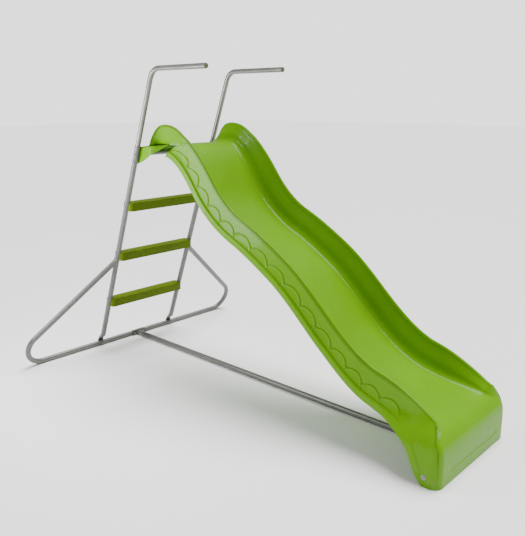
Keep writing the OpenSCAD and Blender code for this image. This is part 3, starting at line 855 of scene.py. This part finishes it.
def add_skirt_relief(grid, along, drop_length, down_share, rim_column, skirt, at_foot):
    """The row of scallops above the lip, each a raised bead round a slightly raised pad. Also returns
    painted shade marks for the grooves, the lip line and the skirt's leading edge.
    """
    s = sizes()
    total = along[-1]
    line = 0.748
    # Scallops get shorter towards the foot.
    pitch = s.scallop_pitch * (1 - 0.22 * smooth_step(along, 0.55 * total, 0.95 * total))
    step = np.gradient(along)
    phase = np.cumsum(np.where(skirt, step / pitch, 0.0)) - 0.10
    hump = np.abs(np.sin(math.pi * phase)) ** 0.62
    fade = smooth_step(along, 0.0, 0.03) * (1 - smooth_step(along, total - 0.33, total - 0.24))
    above = (line - down_share)[None, :] * drop_length[:, None]
    top = s.scallop_height * hump
    slope = np.gradient(top) / np.maximum(step, 1e-6)
    gap = (above - top[:, None]) / np.sqrt(1 + np.minimum(slope ** 2, 9.0))[:, None]
    bead = np.exp(-(gap / 0.0034) ** 2)
    inside = smooth_step(-gap, -0.001, 0.004) * smooth_step(above, -0.002, 0.003)
    low_line = np.exp(-((above + 0.001) / 0.0022) ** 2)
    side = np.zeros(grid.shape[1])
    side[rim_column:] = 1
    shown = fade[:, None] * side[None, :] * skirt[:, None]
    lift = shown * (s.bead * bead * (above > -0.004) + 0.0007 * inside)
    groove = shown * (np.exp(-((gap - 0.0058) / 0.0022) ** 2) * (above > 0.0))
    # Painted shadow: a dark line at the skirt's leading edge, where it stands out from the ear.
    lead_edge_shade = np.exp(-((along - 0.006) / 0.004) ** 2) * skirt
    lip_shade_line = low_line * side[None, :] * skirt[:, None] * (1 - at_foot)[:, None]
    out = grid + (lift - 0.0010 * groove)[..., None] * outward(grid)
    # Painted shade: the real 1 mm grooves are darkened further, with a dark line along the lip step and
    # at the skirt's leading edge.
    painted_shade = np.clip(0.85 * groove + 0.55 * lip_shade_line + 0.6 * lead_edge_shade[:, None] * side[None, :], 0, 1)
    return out, painted_shade


def outward(grid):
    """Unit normals that look out of the moulding."""
    normals = unit(np.cross(np.gradient(grid, axis=0), np.gradient(grid, axis=1)))
    return normals * (1.0 if normals[grid.shape[0] // 2, 0, 2] > 0 else -1.0)


def add_front_relief(grid):
    """A shallow stiffening recess across the lower front of the foot."""
    near = smooth_step(grid[..., 0], front_x() - 0.012, front_x() - 0.003)
    wide = 1 - smooth_step(np.abs(grid[..., 1]), 0.225, 0.235)
    tall = smooth_step(grid[..., 2], 0.050, 0.056) * (1 - smooth_step(grid[..., 2], 0.078, 0.084))
    out = grid.copy()
    out[..., 0] -= 0.0028 * near * wide * tall
    return out


def add_skin(piece, thickness):
    """Gives an outer face the moulding's wall, inwards."""
    modifier = piece.modifiers.new("skin", "SOLIDIFY")
    modifier.thickness = thickness
    modifier.offset = -1


def build_chute():
    half, painted_shade, used = chute_grid()
    mirror = half[:, :0:-1] * np.array([1, -1, 1])
    grid = np.concatenate([mirror, half], axis=1)
    mask = np.concatenate([used[:, ::-1], used], axis=1)
    marks = np.concatenate([painted_shade[:, :0:-1], painted_shade], axis=1)
    faces = quads(*grid.shape[:2], mask=mask)
    verts = grid.reshape(-1, 3)
    verts[:, 2] = np.maximum(verts[:, 2], 0.0004)
    normal = np.cross(
        verts[faces[0][1]] - verts[faces[0][0]], verts[faces[0][3]] - verts[faces[0][0]]
    )
    if normal[0] > 0:
        faces = faces[:, ::-1]
    verts, faces, values = compact(verts, faces, {"painted_shade": marks})
    piece = make_object(
        "chute_moulding", verts, faces, moulding_material(), ("chute",), values
    )
    add_skin(piece, sizes().skin)


def build_cheeks():
    """The gussets that fold down from the platform and take the head bolts."""
    s = sizes()
    start, tip = lip_x(), lip_x() + CHEEK_LENGTH
    x = np.linspace(start, tip, 90)
    bed_stations, _ = chute_lines()
    bed, _, _, _ = course(bed_stations[2:5], [120, 30])
    level = np.interp(x, bed[:, 0], bed[:, 1])
    level[x < bed[0, 0]] = s.platform_height - LIP_DROP - 0.004
    depth = pchip([(start, 0.088), (start + 0.040, 0.086), (start + 0.060, 0.082),
                   (start + 0.165, 0.034), (tip, 0.002)], x)
    outer = pchip([(start, cheek_face()), (start + 0.13, cheek_face()), (tip, s.rim_half - 0.060)], x)
    inner = outer - 0.075 * (1 - smooth_step(x, tip - 0.06, tip) * 0.6)
    band = 0.0016 * np.exp(-((x - start - 0.052) / 0.004) ** 2)
    columns = []
    for u in np.linspace(0, 1, 5):
        columns.append(np.stack([x, mix(inner, outer - EASED_EDGE, u), level - 0.0025], 1))
    for u in np.linspace(0, 1, 10)[1:]:
        a = u * math.pi / 2
        drop = EASED_EDGE * (1 - math.cos(a)) * np.minimum(1, depth / 0.02)
        y = outer - EASED_EDGE + EASED_EDGE * math.sin(a)
        columns.append(np.stack([x, y, level - 0.0025 - drop], 1))
    low = level - 0.0025 - depth
    top = columns[-1][:, 2]
    for u in np.linspace(0, 1, 24)[1:]:
        lip = 0.0022 * smooth_step(np.full_like(x, u), 0.93, 1.0)
        columns.append(np.stack([x, outer - band - lip, mix(top, low, u)], 1))
    grid = np.stack(columns, axis=1)
    for side in SIDES:
        faces = quads(*grid.shape[:2])
        piece = make_object(
            f"{SIDE_NAMES[side]}_cheek", grid * np.array([1, side, 1]),
            faces[:, ::-1] if side == RIGHT else faces, moulding_material(),
        )
        add_skin(piece, s.skin - 0.0006)


# The frame --------------------------------------------------------------------------------

def ladder_x(z):
    return math.tan(sizes().lean) * (z - tube_r())


def along_ladder(z):
    return (z - tube_r()) / math.cos(sizes().lean)


def ladder_up():
    return np.array([math.sin(sizes().lean), 0, math.cos(sizes().lean)])


def ladder_out():
    """Across the ladder's plane, towards the chute."""
    return np.array([math.cos(sizes().lean), 0, -math.sin(sizes().lean)])


def ladder_point(along, y=0.0):
    base = np.array([0, y, tube_r()])
    return base + along * ladder_up()


def tread_z(i):
    return (sizes().platform_height - 0.050) / 4 * i - 0.002


def side_tube_top():
    return along_ladder(sizes().platform_height - 0.008)


def side_run(side):
    """Middle line of a side tube, from its top down round to the base bar's middle."""
    s = sizes()
    half = half_ladder()
    knee = along_ladder(s.knee_height)
    spread = math.degrees(math.atan2(knee, s.base_spread - half))
    knee_turn = 90 - spread
    knee_cut = s.knee_bend * math.tan(math.radians(knee_turn / 2))
    ground_cut = s.ground_bend * math.tan(math.radians((180 - spread) / 2))
    outrigger = math.hypot(knee, s.base_spread - half) - knee_cut - ground_cut
    points, bearings = arc_course(
        [side_tube_top() - knee - knee_cut, knee_turn, outrigger, spread - 180,
         s.base_spread - ground_cut - 0.0001],
        [s.knee_bend, s.ground_bend],
    )
    start = ladder_point(side_tube_top(), side * half)
    return plane_frame(start, -ladder_up(), np.array([0, side, 0]), points, bearings)


def build_side_tube(side):
    s = sizes()
    centres, ways, normal = side_run(side)
    rings, faces = swept_tube(centres, ways, normal, tube_r(), tube_r() - s.tube_wall)
    name = SIDE_NAMES[side]
    make_object(
        f"{name}_side_frame", rings, faces, tube_material(), (f"{name}_side_tube",),
        sharp=50,
    )


def loft(rings):
    """Faces over a list of equal rings, closed at both ends."""
    rings = np.array(rings)
    n, m = rings.shape[:2]
    faces = [tuple(f) for f in quads(n, m, False, True)]
    faces.append(tuple(range(m))[::-1])
    faces.append(tuple(range((n - 1) * m, n * m)))
    return rings.reshape(-1, 3), faces


def flattened_ring(half_thick, half_wide, squareness, sides=48):
    """A ring between round and rounded oblong, as (thickness, width) pairs."""
    a = np.arange(sides) * 2 * math.pi / sides
    power = 2 / squareness
    c, d = np.cos(a), np.sin(a)
    return (half_thick * np.sign(c) * np.abs(c) ** power, half_wide * np.sign(d) * np.abs(d) ** power)


def build_leg(side):
    """A leg of the ladder: its top runs into the bend above, and its foot is pressed behind the base
    bar.
    """
    r, press, tab_back = tube_r(), 0.072, tube_r() + SEAT
    rings = []

    def add_ring(z, u, v):
        rings.append(ladder_point(z) + u[:, None] * ladder_out() + v[:, None] * np.array([0, 1, 0]))

    for z in (along_ladder(sizes().knee_height) + LEG_ABOVE_KNEE, 0.30, 0.10, press + 0.001, press):
        add_ring(z, *flattened_ring(r, r, 2.0))
    for t in np.linspace(0, 1, 16)[1:]:
        ease = eased(t)
        front, back = mix(r, -tab_back, ease), mix(-r, -tab_back - LEG_TAB, ease)
        u, v = flattened_ring((front - back) / 2, mix(r, 0.020, ease), 2 + 6 * ease)
        add_ring(mix(press, 0.013, t), u + (front + back) / 2, v)
    for t in np.linspace(0, 1, 10)[1:]:
        round_end = math.sqrt(max(0.0, 1 - (t * 0.94) ** 4))
        u, v = flattened_ring(LEG_TAB / 2, 0.020 * mix(0.55, 1.0, round_end), 8)
        add_ring(mix(0.013, -0.010, t), u - tab_back - LEG_TAB / 2, v)
    verts, faces = loft(rings)
    verts = verts + np.array([0, side * half_ladder(), 0])
    name = SIDE_NAMES[side]
    make_object(
        f"{name}_leg_tube", verts, faces, tube_material(), (f"{name}_leg",), sharp=45
    )


def build_knee_weld(side):
    """The weld bead round the top of a leg, where it meets the bend of the side tube."""
    half, r = half_ladder(), tube_r()
    centres, _, _ = side_run(side)
    line = np.concatenate([
        np.linspace(a, b, 12, endpoint=False) for a, b in zip(centres[:-1], centres[1:])
    ])
    across = np.array([0, 1, 0])
    points, angles = [], np.linspace(0, 2 * math.pi, 73)[:-1]
    top = along_ladder(sizes().knee_height) + LEG_ABOVE_KNEE
    heights = np.linspace(top - 0.14, top, 180)
    for a in angles:
        out = math.cos(a) * ladder_out() + math.sin(a) * across
        column = ladder_point(0, side * half) + r * out + heights[:, None] * ladder_up()
        gap = np.linalg.norm(column[:, None] - line[None], axis=2).min(1)
        inside = np.nonzero(gap < r)[0]
        points.append(column[inside[0]] if len(inside) else column[-1])
    points = np.array(points)
    for _ in range(3):
        points = (np.roll(points, 1, 0) + 2 * points + np.roll(points, -1, 0)) / 4
    rings = []
    b = np.arange(10) * 2 * math.pi / 10
    for k, a in enumerate(angles):
        out = math.cos(a) * ladder_out() + math.sin(a) * across
        fat = 0.0026 * (1 + 0.14 * math.sin(k * 2.1))
        rings.append(
            points[k] + fat * (np.cos(b)[:, None] * out + np.sin(b)[:, None] * ladder_up())
        )
    make_object(
        f"{SIDE_NAMES[side]}_knee_weld", rings, quads(len(rings), 10, True, True),
        tube_material(),
    )


def build_handrail(side):
    s = sizes()
    rail_r = tube_r() - s.tube_wall - s.slip
    foot = side_tube_top() - s.rail_insert
    top_z = s.platform_height + s.handrail_rise
    turn = 90 - math.degrees(s.lean)
    cut = s.rail_bend * math.tan(math.radians(turn / 2))
    points, bearings = arc_course(
        [along_ladder(top_z) - foot - cut, turn, s.rail_reach - cut], [s.rail_bend]
    )
    centres, ways, normal = plane_frame(
        ladder_point(foot, side * half_ladder()), ladder_up(), ladder_out(), points, bearings
    )
    rings, faces = swept_tube(centres, ways, normal, rail_r, rail_r - s.tube_wall)
    name = SIDE_NAMES[side]
    make_object(
        f"{name}_rail", rings, faces, rail_material(), (f"{name}_handrail",), sharp=50
    )


def build_plugs():
    """Domed caps in the open ends of the handrails."""
    s = sizes()
    r = tube_r() - s.tube_wall - s.slip
    top_z = s.platform_height + s.handrail_rise
    parts = []
    for side in SIDES:
        profile = [(r - 0.0017, -0.018, 0), (r - 0.0017, 0.0, 0), (r - 0.0004, 0.0, 0), (r, 0.0004, 0),
                   (r, 0.0018, 0), (r - 0.0006, 0.0026, 0)]
        for k in range(1, 8):
            a = k / 8 * math.pi / 2
            profile.append((r * math.cos(a) ** 0.8 * 0.97, 0.0026 + 0.0036 * math.sin(a), 0))
        profile.append((0.0006, 0.0062, 0))
        place = (ladder_x(top_z) + s.rail_reach, side * half_ladder(), top_z)
        parts.append(lathe(profile, facing(place, (1, 0, 0))))
    verts, faces = joined(parts)
    make_object(
        "rail_plugs", verts, faces, plug_material(), ("handrail_plugs",), sharp=50
    )


def build_tread(i):
    """A moulded tread: ribbed top, eased edges, hollow below with three cross ribs."""
    s = sizes()
    deep, tall, r = s.tread_depth / 2, s.tread_height / 2, 0.009
    half_long = half_ladder() + s.tread_wrap
    hollow = half_ladder() - tube_r() - 0.050
    wall = 0.004
    top_half = deep - r
    outline = []
    for z in np.linspace(-tall, tall - r, 10)[:-1]:
        outline.append((-deep, z, 0.0))
    for a in np.linspace(0, math.pi / 2, 9):
        outline.append((-top_half - r * math.cos(a), tall - r + r * math.sin(a), 0.0))
    for x in np.linspace(-top_half, top_half, 121)[1:-1]:
        ridge = 0.5 + 0.5 * math.cos(2 * math.pi * x / 0.0066)
        outline.append((x, tall, ridge ** 0.7 if abs(x) < top_half - 0.003 else 0.0))
    for a in np.linspace(math.pi / 2, 0, 9):
        outline.append((top_half + r * math.cos(a), tall - r + r * math.sin(a), 0.0))
    for z in np.linspace(tall - r, -tall, 10)[1:]:
        outline.append((deep, z, 0.0))
    outline = np.array(outline)
    bay = (2 * hollow - 3 * wall) / 4
    cuts = []
    for k in range(4):
        low = k * (bay + wall) - hollow
        cuts += [low, low + 0.0002, low + bay - 0.0002, low + bay]
    tips = half_long - s.tread_corner * (1 - np.sin(np.linspace(0, math.pi / 2, 14)))
    places = np.unique(np.round(np.concatenate(
        [-tips, tips, np.array(cuts), np.linspace(-hollow, hollow, 40)]
    ), 6))
    rings = []
    for y in places:
        over = max(0.0, abs(y) - (half_long - s.tread_corner))
        shrink = s.tread_corner - math.sqrt(max(0.0, s.tread_corner ** 2 - over ** 2))
        fit = (deep - shrink) / deep
        lift = max(0.0, abs(y) - (half_long - 0.007))
        drop = 0.007 - math.sqrt(max(0.0, 0.007 ** 2 - lift ** 2))
        squash = (tall - drop) / tall
        grip = 0.0007 * float(1 - smooth_step(np.array(abs(y)), hollow + 0.005, hollow + 0.012))
        ring = np.stack([
            outline[:, 0] * fit, np.full(len(outline), y), outline[:, 1] * squash
            - grip * outline[:, 2],
        ], 1)
        inside = any(cuts[4 * k + 1] <= y <= cuts[4 * k + 2] for k in range(4))
        roof = tall - wall if inside else -tall * squash
        x = (deep - wall) * fit
        inner = np.array([
            [x, y, -tall * squash], [x, y, roof], [0, y, roof], [-x, y, roof],
            [-x, y, -tall * squash],
        ])
        rings.append(np.concatenate([ring, inner]))
    verts, faces = loft(rings)
    verts = verts + np.array([ladder_x(tread_z(i)), 0, tread_z(i)])
    make_object(
        f"tread_board_{i}", verts, faces, tread_material(), (f"tread_{i}",), sharp=40
    )


def build_ground_bar():
    s = sizes()
    r = tube_r()
    foot_x, _ = foot_tube_place()
    start, bar_end = r + SADDLE_WALL + SEAT, foot_x - 0.050
    rings = []

    def ring_at(x, z, half_tall, half_wide, squareness):
        u, v = flattened_ring(half_tall, half_wide, squareness)
        rings.append(np.stack([np.full(len(u), x), v, z + u], 1))

    ring_at(start, r, r - 0.0015, r - 0.0015, 2)
    ring_at(start, r, r - 0.0003, r - 0.0003, 2)
    ring_at(start + 0.0004, r, r, r, 2)
    for x in np.linspace(start + 0.01, bar_end, 12):
        ring_at(x, r, r, r, 2)
    for t in np.linspace(0, 1, 14)[1:]:
        ease = eased(t)
        top, low = s.tube_d, mix(0.0, s.tube_d - PRESSED_WALL, ease)
        ring_at(mix(bar_end, foot_x - 0.022, t), (top + low) / 2, (top - low) / 2,
                mix(r, 0.023, ease), 2 + 6 * ease)
    for t in np.linspace(0, 1, 10)[1:]:
        ring_at(mix(foot_x - 0.022, foot_x + 0.020, t), s.tube_d - PRESSED_WALL / 2, PRESSED_WALL / 2,
                0.023 * mix(1.0, 0.8, max(0.0, t - 0.75) * 4), 8)
    verts, faces = loft(rings)
    make_object("ground_tube", verts, faces, tube_material(), ("ground_bar",), sharp=45)


def build_cross_tubes():
    """The crossbar under the platform and the tube through the foot."""
    s = sizes()
    head = (ladder_x(head_bar_z()), head_bar_z())
    for name, node, (x, z), wall_y in (
        ("head_crossbar", "top_crossbar", head, cheek_face()),
        ("foot_tube", "foot_cross_tube", foot_tube_place(), s.foot_half),
    ):
        reach = wall_y - s.skin - SEAT
        centres = np.array([[x, y, z] for y in np.linspace(-reach, reach, 6)])
        ways = np.tile(np.array([0.0, 1.0, 0.0]), (6, 1))
        rings, faces = swept_tube(
            centres, ways, np.array([1.0, 0, 0]), s.cross_d / 2, s.cross_d / 2 - s.tube_wall
        )
        make_object(name, rings, faces, tube_material(), (node,), sharp=50)


# Fasteners --------------------------------------------------------------------------------

def bolt_parts(place, inward, d, reach):
    """A button-head bolt with a hexagon socket. inward points from the head along the shank."""
    head, tall = d, 0.55 * d
    profile = [(d * 0.10, -tall * 0.45, 0.5 * d), (0.28 * d * 1.1, -tall * 0.45, 0.5 * d),
               (0.31 * d, -tall * 0.97, 0.56 * d), (0.36 * d, -tall, 0)]
    for k in range(1, 9):
        a = k / 8 * math.pi / 2
        profile.append((0.36 * d + (head - 0.36 * d) * math.sin(a), -tall * math.cos(a) * 0.98, 0))
    profile += [(head, 0.0, 0), (d / 2, 0.0, 0), (d / 2, reach - 0.0006, 0), (d / 2 - 0.0006, reach, 0)]
    return lathe(profile, facing(place, inward))


def nut_parts(place, inward, d):
    """A hexagon nut with eased corners, standing on place along inward."""
    flats, tall = 1.62 * d, 0.8 * d
    rim = flats / 2 * 1.155
    profile = [(d / 2, 0.0, 0), (flats / 2, 0.0, flats), (rim, 0.12 * tall, flats),
               (rim, 0.86 * tall, flats), (flats / 2, tall, flats), (d / 2 * 1.1, tall, 0),
               (d / 2, tall * 0.9, 0)]
    return lathe(profile, facing(place, inward))


def outer_face(side, z):
    """The place on an upright's outer side where a bolt's head sits."""
    return (ladder_x(z), side * (half_ladder() + tube_r() + SEAT), z)


def build_fasteners():
    """Every bolt, nut and washer, one object for each CAD node."""
    s = sizes()
    big, small = s.bolt_d, s.small_bolt_d
    cross_z = head_bar_z()
    low_z = cross_z - HEAD_BOLT_GAP
    base_z = tube_r()
    tab_back = tube_r() + SEAT
    foot_x, foot_z = foot_tube_place()
    saddle_front = tube_r() + SADDLE_WALL
    sets = {}

    def add(name, node, part):
        sets.setdefault((name, node), []).append(part)

    for side in SIDES:
        inward = np.array([0, -side, 0])
        for i in (1, 2, 3):
            face = np.array(outer_face(side, tread_z(i)))
            add("tread_bolt_set", "tread_bolts",
                bolt_parts(face, inward, big, s.tube_d + TREAD_BOLT_PAST))
            add("tread_nut_set", "tread_nuts",
                nut_parts(face + inward * (s.tube_d + TREAD_NUT_PAST), inward, big))
        upper, lower = np.array(outer_face(side, cross_z)), np.array(outer_face(side, low_z))
        for face, past in ((upper, HEAD_BOLT_PAST), (lower, LOWER_BOLT_PAST)):
            add("head_bolt_set", "head_bolts", bolt_parts(face, inward, big, s.tube_d + past))
        add("head_nut_set", "head_nuts",
            nut_parts(lower + inward * (s.tube_d + s.skin + 0.0006), inward, big))
        foot = ladder_point(0, side * half_ladder())
        out = ladder_out()
        add("leg_bolt_set", "leg_foot_bolts",
            bolt_parts(foot - out * (tab_back + LEG_TAB), out, small, 2 * tab_back + 0.015))
        add("leg_nut_set", "leg_foot_nuts", nut_parts(foot + out * tube_r(), out, small))
        ahead = np.array([1, 0, 0])
        add("saddle_bolt_set", "saddle_bolts", bolt_parts(
            np.array([-tube_r(), side * SADDLE_BOLT_Y, base_z]), ahead, small,
            tube_r() + saddle_front + BAR_BOLT_PAST))
        add("saddle_nut_set", "saddle_nuts", nut_parts(
            np.array([saddle_front, side * SADDLE_BOLT_Y, base_z]), ahead, small))
        add("foot_bolt_set", "foot_side_bolts", bolt_parts(
            np.array([foot_x, side * (s.foot_half + WASHER_THICK + SEAT), foot_z]),
            inward, big, FOOT_BOLT_REACH))
        washer = [
            (WASHER_BORE, 0.0, 0), (WASHER_RADIUS - 0.0004, 0.0, 0), (WASHER_RADIUS, WASHER_EDGE, 0),
            (WASHER_RADIUS, WASHER_THICK - WASHER_EDGE, 0),
            (WASHER_RADIUS - 0.0004, WASHER_THICK, 0), (WASHER_BORE, WASHER_THICK, 0),
        ]
        add("foot_washer_set", "foot_side_washers", lathe(
            washer, facing((foot_x, side * (s.foot_half + 0.0001), foot_z), (0, side, 0))))
    bar_x = saddle_front + BAR_BOLT_X
    cross = np.array([0, 1, 0])
    add("bar_bolt", "ground_bar_bolt", bolt_parts(
        np.array([bar_x, -tube_r(), base_z]), cross, small, s.tube_d + BAR_BOLT_PAST))
    add("bar_nut", "ground_bar_nut", nut_parts(np.array([bar_x, tube_r(), base_z]), cross, small))
    down = np.array([0, 0, -1])
    add("clamp_bolt", "foot_clamp_bolt", bolt_parts(
        np.array([foot_x, 0, s.tube_d + s.cross_d]), down, big, s.cross_d + 0.015))
    add("clamp_nut", "foot_clamp_nut",
        nut_parts(np.array([foot_x, 0, s.tube_d - PRESSED_WALL]), down, big))
    for (name, node), parts in sets.items():
        verts, faces = joined(parts)
        make_object(name, verts, faces, zinc_material(), (node,), sharp=35)


def finish_fittings():
    """The joiner, saddle and inserts keep their CAD shape, with smooth shading, sharp edges by angle
    and a finish.
    """
    for node, material, slot in (
        ("base_joiner", tube_material(), "tube"),
        ("base_saddle", tube_material(), "tube"),
        ("crossbar_inserts", zinc_material(), "fastener"),
        ("foot_inserts", zinc_material(), "fastener"),
    ):
        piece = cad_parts[node]
        piece.data.materials.clear()
        piece.data.materials.append(material)
        piece.data.polygons.foreach_set("use_smooth", [True] * len(piece.data.polygons))
        piece.data.set_sharp_from_angle(angle=math.radians(35))


# Stage ------------------------------------------------------------------------------------

CAMERA_PLACE = (3.5867, -2.5816, 1.5777)
CAMERA_TURN = math.radians(42.75)
CAMERA_DOWN = math.radians(14.31)
CAMERA_ROLL = math.radians(0.04)
CAMERA_LENS = 43.86
FLOOR_REACH = 40.0
SUN_POWER = 6.0
SUN_SPREAD = math.radians(42)
SUN_WAY = (-0.10, -0.30, -1.0)
SURROUND_LIGHT = 0.30
SURROUND_SEEN = 2.1
# Name, place, target, side and watts of each area light.
LAMPS = (
    ("left_box", (-1.15, -1.55, 1.15), (-0.52, -0.25, 1.38), 0.8, 32),
    ("ear_box", (-1.0, -1.5, 2.5), (-0.42, 0.28, 1.42), 0.5, 15),
)


def floor_material():
    material, tree, shader = material_base("pale_floor")
    where = tree.nodes.new("ShaderNodeTexCoord").outputs["Object"]
    base = tuple(colours().floor)
    cloud = add_noise(tree, where, 1.1, 4.0, 0.5)
    tree.links.new(
        add_blend(tree, cloud, tinted(base, 0.985), tinted(base, 1.01)), shader.inputs["Base Color"]
    )
    tree.links.new(add_range(tree, cloud, 0.2, 0.8, 0.75, 0.9), shader.inputs["Roughness"])
    return material


def add_lamp(name, data, way):
    lamp = link(name, data)
    lamp.rotation_mode = "QUATERNION"
    lamp.rotation_quaternion = Vector(way).to_track_quat("-Z", "Y")
    return lamp


def area_light(name, place, target, side, power):
    data = bpy.data.lights.new(name, "AREA")
    data.shape = "RECTANGLE"
    data.size = side
    data.size_y = side
    data.energy = power
    add_lamp(name, data, Vector(target) - Vector(place)).location = place


def studio_world():
    """A dim even surround that the eye sees as a bright backdrop."""
    world = bpy.data.worlds.new("studio")
    world.use_nodes = True
    tree = world.node_tree
    dim = tree.nodes["Background"]
    bright = tree.nodes.new("ShaderNodeBackground")
    for node, strength in ((dim, SURROUND_LIGHT), (bright, SURROUND_SEEN)):
        node.inputs["Color"].default_value = (1, 1, 1, 1)
        node.inputs["Strength"].default_value = strength
    path = tree.nodes.new("ShaderNodeLightPath")
    either = tree.nodes.new("ShaderNodeMixShader")
    tree.links.new(path.outputs["Is Camera Ray"], either.inputs["Fac"])
    tree.links.new(dim.outputs["Background"], either.inputs[1])
    tree.links.new(bright.outputs["Background"], either.inputs[2])
    tree.links.new(either.outputs["Shader"], tree.nodes["World Output"].inputs["Surface"])
    return world


def build_stage():
    mesh = bpy.data.meshes.new("floor")
    corners = [(-1, -1), (1, -1), (1, 1), (-1, 1)]
    mesh.from_pydata([(x * FLOOR_REACH, y * FLOOR_REACH, 0) for x, y in corners], [], [(0, 1, 2, 3)])
    mesh.materials.append(floor_material())
    link("floor", mesh)
    bpy.context.scene.world = studio_world()
    sun = bpy.data.lights.new("soft_sun", "SUN")
    sun.energy = SUN_POWER
    sun.angle = SUN_SPREAD
    add_lamp("soft_sun", sun, SUN_WAY)
    for lamp in LAMPS:
        area_light(*lamp)
    data = bpy.data.cameras.new("camera")
    data.lens = CAMERA_LENS
    data.sensor_width = 36
    data.clip_end = 200
    camera = link("camera", data)
    camera.location = (BASE_X + CAMERA_PLACE[0], CAMERA_PLACE[1], CAMERA_PLACE[2])
    camera.rotation_euler = (math.pi / 2 - CAMERA_DOWN, CAMERA_ROLL, CAMERA_TURN)
    bpy.context.scene.camera = camera


# Operators --------------------------------------------------------------------------------

class SLIDE_OT_chute(bpy.types.Operator):
    """Build the moulded chute with its ears, skirts and cheeks"""

    bl_idname = "slide.chute"
    bl_label = "Chute"

    def execute(self, context):
        build_chute()
        build_cheeks()
        return {"FINISHED"}


class SLIDE_OT_side_tubes(bpy.types.Operator):
    """Build the two side tubes that form the uprights, outriggers and base bar"""

    bl_idname = "slide.side_tubes"
    bl_label = "Side tubes"

    def execute(self, context):
        for side in SIDES:
            build_side_tube(side)
        return {"FINISHED"}


class SLIDE_OT_legs(bpy.types.Operator):
    """Build the two legs with their pressed feet and the welds above them"""

    bl_idname = "slide.legs"
    bl_label = "Legs"

    def execute(self, context):
        for side in SIDES:
            build_leg(side)
            build_knee_weld(side)
        return {"FINISHED"}


class SLIDE_OT_handrails(bpy.types.Operator):
    """Build the two handrails and the plugs in their ends"""

    bl_idname = "slide.handrails"
    bl_label = "Handrails"

    def execute(self, context):
        for side in SIDES:
            build_handrail(side)
        build_plugs()
        return {"FINISHED"}


class SLIDE_OT_treads(bpy.types.Operator):
    """Build the three moulded treads"""

    bl_idname = "slide.treads"
    bl_label = "Treads"

    def execute(self, context):
        for i in (1, 2, 3):
            build_tread(i)
        return {"FINISHED"}


class SLIDE_OT_ground_bar(bpy.types.Operator):
    """Build the bar along the ground and the two cross tubes"""

    bl_idname = "slide.ground_bar"
    bl_label = "Ground bar and cross tubes"

    def execute(self, context):
        build_ground_bar()
        build_cross_tubes()
        finish_fittings()
        return {"FINISHED"}


class SLIDE_OT_fasteners(bpy.types.Operator):
    """Build the bolts, nuts and washers"""

    bl_idname = "slide.fasteners"
    bl_label = "Fasteners"

    def execute(self, context):
        build_fasteners()
        return {"FINISHED"}


class SLIDE_OT_stage(bpy.types.Operator):
    """Build the floor, the lights and the camera"""

    bl_idname = "slide.stage"
    bl_label = "Stage"

    def execute(self, context):
        build_stage()
        return {"FINISHED"}


OPERATORS = (
    SLIDE_OT_chute, SLIDE_OT_side_tubes, SLIDE_OT_legs, SLIDE_OT_handrails, SLIDE_OT_treads,
    SLIDE_OT_ground_bar, SLIDE_OT_fasteners, SLIDE_OT_stage,
)


class SLIDE_PT_panel(bpy.types.Panel):
    """The slide's operators, sizes and colours"""

    bl_idname = "SLIDE_PT_panel"
    bl_label = "Wave slide"
    bl_space_type = "VIEW_3D"
    bl_region_type = "UI"
    bl_category = "Slide"

    def draw(self, context):
        layout = self.layout
        for operator in OPERATORS:
            layout.operator(operator.bl_idname)
        for group in (context.scene.slide_sizes, context.scene.slide_colours):
            box = layout.box()
            for key in group.bl_rna.properties.keys():
                if key not in ("rna_type", "name"):
                    box.prop(group, key)


CLASSES = (SlideSizes, SlideColours) + OPERATORS + (SLIDE_PT_panel,)


def register():
    for item in CLASSES:
        bpy.utils.register_class(item)
    bpy.types.Scene.slide_sizes = bpy.props.PointerProperty(type=SlideSizes)
    bpy.types.Scene.slide_colours = bpy.props.PointerProperty(type=SlideColours)


def unregister():
    del bpy.types.Scene.slide_sizes
    del bpy.types.Scene.slide_colours
    for item in reversed(CLASSES):
        bpy.utils.unregister_class(item)


def main():
    register()
    bpy.ops.slide.chute()
    bpy.ops.slide.side_tubes()
    bpy.ops.slide.legs()
    bpy.ops.slide.handrails()
    bpy.ops.slide.treads()
    bpy.ops.slide.ground_bar()
    bpy.ops.slide.fasteners()
    bpy.ops.slide.stage()


if __name__ == "__main__":
    main()
